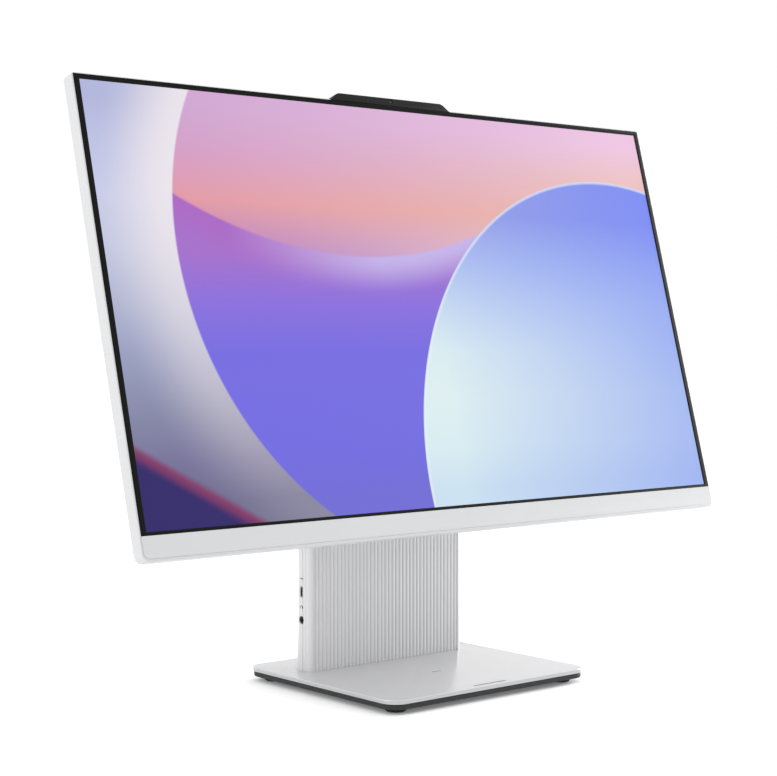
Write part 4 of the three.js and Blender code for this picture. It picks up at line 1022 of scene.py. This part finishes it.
def side_jack():
    """A round nose on a square body, bored for the plug, with a metal liner in the bore."""
    low, high = stand_box("audio_jack")
    centre = middle_of("audio_jack").yz
    nose = soften(rod("x", 3.0, (low.x, low.x + 4), centre, 48), 0.3, 3, on("x", low.x))
    body = soften(slab((low.x + 3, low.y, low.z), high), 0.3, 2, on("x", high.x))
    bore = rod("x", 1.8, (low.x - PAST, low.x + 11), centre, 40)
    add_piece("audio_jack_body", shaped(nose, [bore], [body]), "stand", "audio_jack")
    liner = rod("x", 1.78, (low.x + 0.8, low.x + 8), centre, 40)
    hollow = rod("x", 1.62, (low.x, low.x + 9), centre, 40)
    add_piece("audio_jack_liner", shaped(liner, [hollow]), "stand", slot="connector_metal")


def port_marks():
    """Plain raised marks above the two sockets: ear cups on a band, and an arrow on a branched bar."""
    wall = stand_box("column_front_shell")[0].x
    skin = (wall - 0.06, wall + 0.3)
    jack = middle_of("audio_jack")
    ears = ear_mark(wall, skin, jack.y, jack.z + 11)
    arrow = arrow_mark(skin, jack.y, stand_box("usb_c_port")[1].z + 6.6)
    print_black = FINISH["camera_charcoal"]
    add_piece("socket_marks", merged(*ears, arrow), "stand", slot="inner_black", finish=print_black)


def ear_mark(wall, skin, y, z):
    band = rod("x", 1.3, skin, (y, z), 24)
    hollow = rod("x", 0.95, (wall - PAST, wall + PAST), (y, z), 24)
    under = slab((wall - PAST, y - 3, z - 3), (wall + PAST, y + 3, z - 0.4))
    cups = []
    for side in (-1, 1):
        middle = y + side * 1.1
        cups.append(slab((skin[0], middle - 0.35, z - 1.4), (skin[1], middle + 0.35, z)))
    return [shaped(band, [hollow, under])] + cups


def arrow_mark(skin, y, z):
    stem = slab((skin[0], y - 1.3, z - 0.16), (skin[1], y + 1.3, z + 0.16))
    head = bar("x", [(y + 1.2, z - 0.5), (y + 2.1, z), (y + 1.2, z + 0.5)], skin)
    ball = rod("x", 0.45, skin, (y - 1.5, z), 16)
    branch = slab((skin[0], y - 0.2, z - 0.9), (skin[1], y + 0.1, z + 0.7))
    return shaped(stem, joins=[head, ball, branch])


# ---- Neck and hinge ----

def neck_cover():
    low, high = stand_box("neck_cover")
    wall = 1.5
    sleeve = soften(moulding(low, high, 4.0), 0.5, 3, on("y", low.y))
    hollow = moulding(low, high, 2.5, wall, (-PAST, PAST))
    add_piece("neck_sleeve", shaped(sleeve, [hollow]), "stand", "neck_cover")


EAR_RADIUS = 8.2
PIN_HOLE = 4.1
PLATE = 3.0
ARM_HALF = 18
EARS = ((-32, -26), (26, 32))


def display_bracket():
    """The plate on the display with two ears that hold the pin."""
    low, high = panel_box("hinge_bracket_display")
    axis = middle_of("hinge_shaft", panel_box)
    front, back = low.y, low.y + PLATE
    plate = soften(moulding(low, high, 5.0, reach=(0, back - high.y)), 0.5, 3, on("y", back))
    ears = []
    for inner, outer in EARS:
        ears.append(slab((inner, back - PAST, axis.z - EAR_RADIUS), (outer, axis.y, axis.z + EAR_RADIUS)))
        ears.append(soften(rod("x", EAR_RADIUS, (inner, outer), axis.yz), 0.4, 2))
    bore = rod("x", PIN_HOLE, (low.x, high.x), axis.yz)
    holes = [rod("y", SCREW_HOLE, (front - PAST, back + PAST), place, 24) for place in bracket_screws()]
    body = shaped(plate, [bore, *holes], ears)
    add_piece("hinge_plate_display", body, "display", "hinge_bracket_display")


def hinge_pin():
    low, high = panel_box("hinge_shaft")
    axis = middle_of("hinge_shaft", panel_box)
    pin = soften(rod("x", 4.0, (-33, high.x), axis.yz), 0.4, 3, on("x", high.x))
    head = soften(rod("x", 6.0, (low.x, -32.3), axis.yz), 0.5, 3)
    add_piece("hinge_pin", shaped(pin, joins=[head]), "display", "hinge_shaft")


def column_bracket():
    """The flange on the column's spine with one barrel between the display's ears."""
    low, high = stand_box("hinge_bracket_column")
    axis = middle_of("hinge_shaft")
    front = high.y - PLATE
    flange = moulding(low, high, 3.0, reach=(front - low.y, 0))
    arm = slab((-ARM_HALF, axis.y, axis.z - 8), (ARM_HALF, front + PAST, axis.z + 8))
    barrel = soften(rod("x", EAR_RADIUS, (-ARM_HALF, ARM_HALF), axis.yz, 56), 0.4, 2)
    bore = rod("x", PIN_HOLE, (-ARM_HALF - PAST, ARM_HALF + PAST), axis.yz)
    holes = [rod("y", SCREW_HOLE, (front - PAST, high.y + PAST), middle_of(f"hinge_screw_{number}").xz, 24)
             for number in (1, 2)]
    body = shaped(flange, [bore] + holes, [arm, barrel])
    add_piece("hinge_bracket_rear", body, "stand", "hinge_bracket_column")


# ---- Base ----

BASE_RADIUS = 14.5
UNDERLAY_RADIUS = BASE_RADIUS - 0.8

# Rows of printed dashes: how many, their pitch, and half their width, depth and thickness.
FRONT_DASHES = (11, 3.1, Vector((1.05, 1.3, 0.025)))
MIDDLE_DASHES = (3, 3.3, Vector((1.1, 0.9, 0.025)))


def rounded_slab(low, high, radius):
    return rounded_bar("z", (low.z, high.z), (low.x, high.x), (low.y, high.y), radius, steps=14)


def base_screw_cuts(radius, span, sides):
    places = [middle_of(f"base_screw_{number}").xy for number in range(1, 5)]
    return [rod("z", radius, span, place, sides) for place in places]


def base_plate():
    low, high = stand_box("base_plate")
    plate = soften(rounded_slab(low, high, BASE_RADIUS), 0.5, 4)
    holes = base_screw_cuts(SCREW_HOLE, (low.z - PAST, high.z + PAST), 24)
    add_piece("base_top_plate", shaped(plate, holes), "stand", "base_plate")


def dash_row(row, y, level):
    """Thin dashes in a row from left to right, almost centred."""
    count, pitch, half = row
    for number in range(count):
        middle = Vector(((number - (count - 1) / 2) * pitch - 1.5, y, level))
        yield slab(middle - half, middle + half)


def base_marks():
    """Faint plain dashes printed near the front edge and in front of the column."""
    low, high = stand_box("base_plate")
    level = high.z + 0.005
    middle_y = stand_box("column_front_shell")[0].y - 63.0
    dashes = [*dash_row(FRONT_DASHES, low.y + 5.4, level), *dash_row(MIDDLE_DASHES, middle_y, level)]
    print_grey = moulded("print_grey", grey(0.1), grey(0.08), (0.7, 0.8), depth=0.00001, specular=0.1)
    add_piece("base_marks", merged(*dashes), "stand", slot="base_silver", finish=print_grey)


def half_width(node):
    low, high = stand_box(node)
    return (high.x - low.x) / 2


def base_underlay():
    """A moulded pan with a well for each foot and a sink for each screw head."""
    low, high = stand_box("base_underlay")
    pan = rounded_slab(low, high, UNDERLAY_RADIUS)
    soften(pan, 1.1, 5, on("z", low.z))
    soften(pan, 0.3, 2, on("z", high.z))
    wells = []
    for number in range(1, 5):
        foot = f"rubber_foot_{number}"
        wells.append(rod("z", half_width(foot) + GAP, (low.z - PAST, low.z + 1), middle_of(foot).xy))
    holes = base_screw_cuts(SCREW_HOLE, (low.z - PAST, high.z + PAST), 20)
    sinks = base_screw_cuts(3.9, (low.z - PAST, low.z + 2.8), 32)
    add_piece("base_pan", shaped(pan, wells + holes + sinks), "stand", "base_underlay")


def feet():
    for number in range(1, 5):
        name = f"rubber_foot_{number}"
        low, high = stand_box(name)
        foot = rod("z", half_width(name), (low.z, high.z), middle_of(name).xy)
        soften(foot, 1.6, 6, on("z", low.z))
        add_piece(f"foot_pad_{number}", foot, "stand", name)


for make in (
        front_bezel, chin_cover, rear_cover, camera_bar_front, camera_bar_back, camera_lens, column_front,
        column_rear, power_button, side_usb, side_jack, port_marks, neck_cover, display_bracket, hinge_pin,
        column_bracket, base_plate, base_marks, base_underlay, feet):
    make()


# ---- Floor, light and camera ----

def floor():
    """A plain pale floor that glows a little, so that it stays white in the machine's own shade."""
    finish = Finish("floor", rough=0.9, specular=0.0)
    finish.paint(finish.mix(finish.noise(3.0), grey(0.945), grey(0.955)))
    finish.shader.inputs["Emission Color"].default_value = (1, 1, 1, 1)
    finish.shader.inputs["Emission Strength"].default_value = 0.12
    bm = bmesh.new()
    ops.create_grid(bm, x_segments=2, y_segments=2, size=30)
    sheet = to_object("floor", bm)
    sheet.data.materials.append(finish.material)


def softbox(name, place, aim, size, power):
    """A rectangular area light that points from its place at an aim."""
    lamp = bpy.data.lights.new(name, "AREA")
    lamp.shape = "RECTANGLE"
    lamp.size, lamp.size_y = size
    lamp.energy = power
    thing = bpy.data.objects.new(name, lamp)
    thing.location = place
    thing.rotation_euler = (Vector(aim) - Vector(place)).to_track_quat("-Z", "Y").to_euler()
    bpy.context.scene.collection.objects.link(thing)


def lights():
    """An even pale room, and a soft box to each side."""
    world = bpy.data.worlds.new("studio")
    world.use_nodes = True
    sky = world.node_tree.nodes["Background"]
    sky.inputs["Color"].default_value = (1, 1, 1, 1)
    sky.inputs["Strength"].default_value = 1.0
    bpy.context.scene.world = world
    softbox("left_light", (-2.2, 0.1, 1.0), (0, 0, 0.25), (1.2, 1.6), 14)
    softbox("right_light", (2.2, 0.0, 0.6), (0, 0, 0.2), (1.2, 1.2), 62)


def camera():
    lens = bpy.data.cameras.new("view")
    lens.sensor_width = 36
    lens.lens = 82.16
    lens.shift_x = -0.0012
    thing = bpy.data.objects.new("view", lens)
    thing.location = (-0.9631, -1.1083, 0.2935)
    thing.rotation_euler = (math.radians(88.06), 0, math.radians(-40.09))
    bpy.context.scene.collection.objects.link(thing)
    bpy.context.scene.camera = thing


floor()
lights()
camera()
bpy.context.scene.view_settings.view_transform = "Standard"
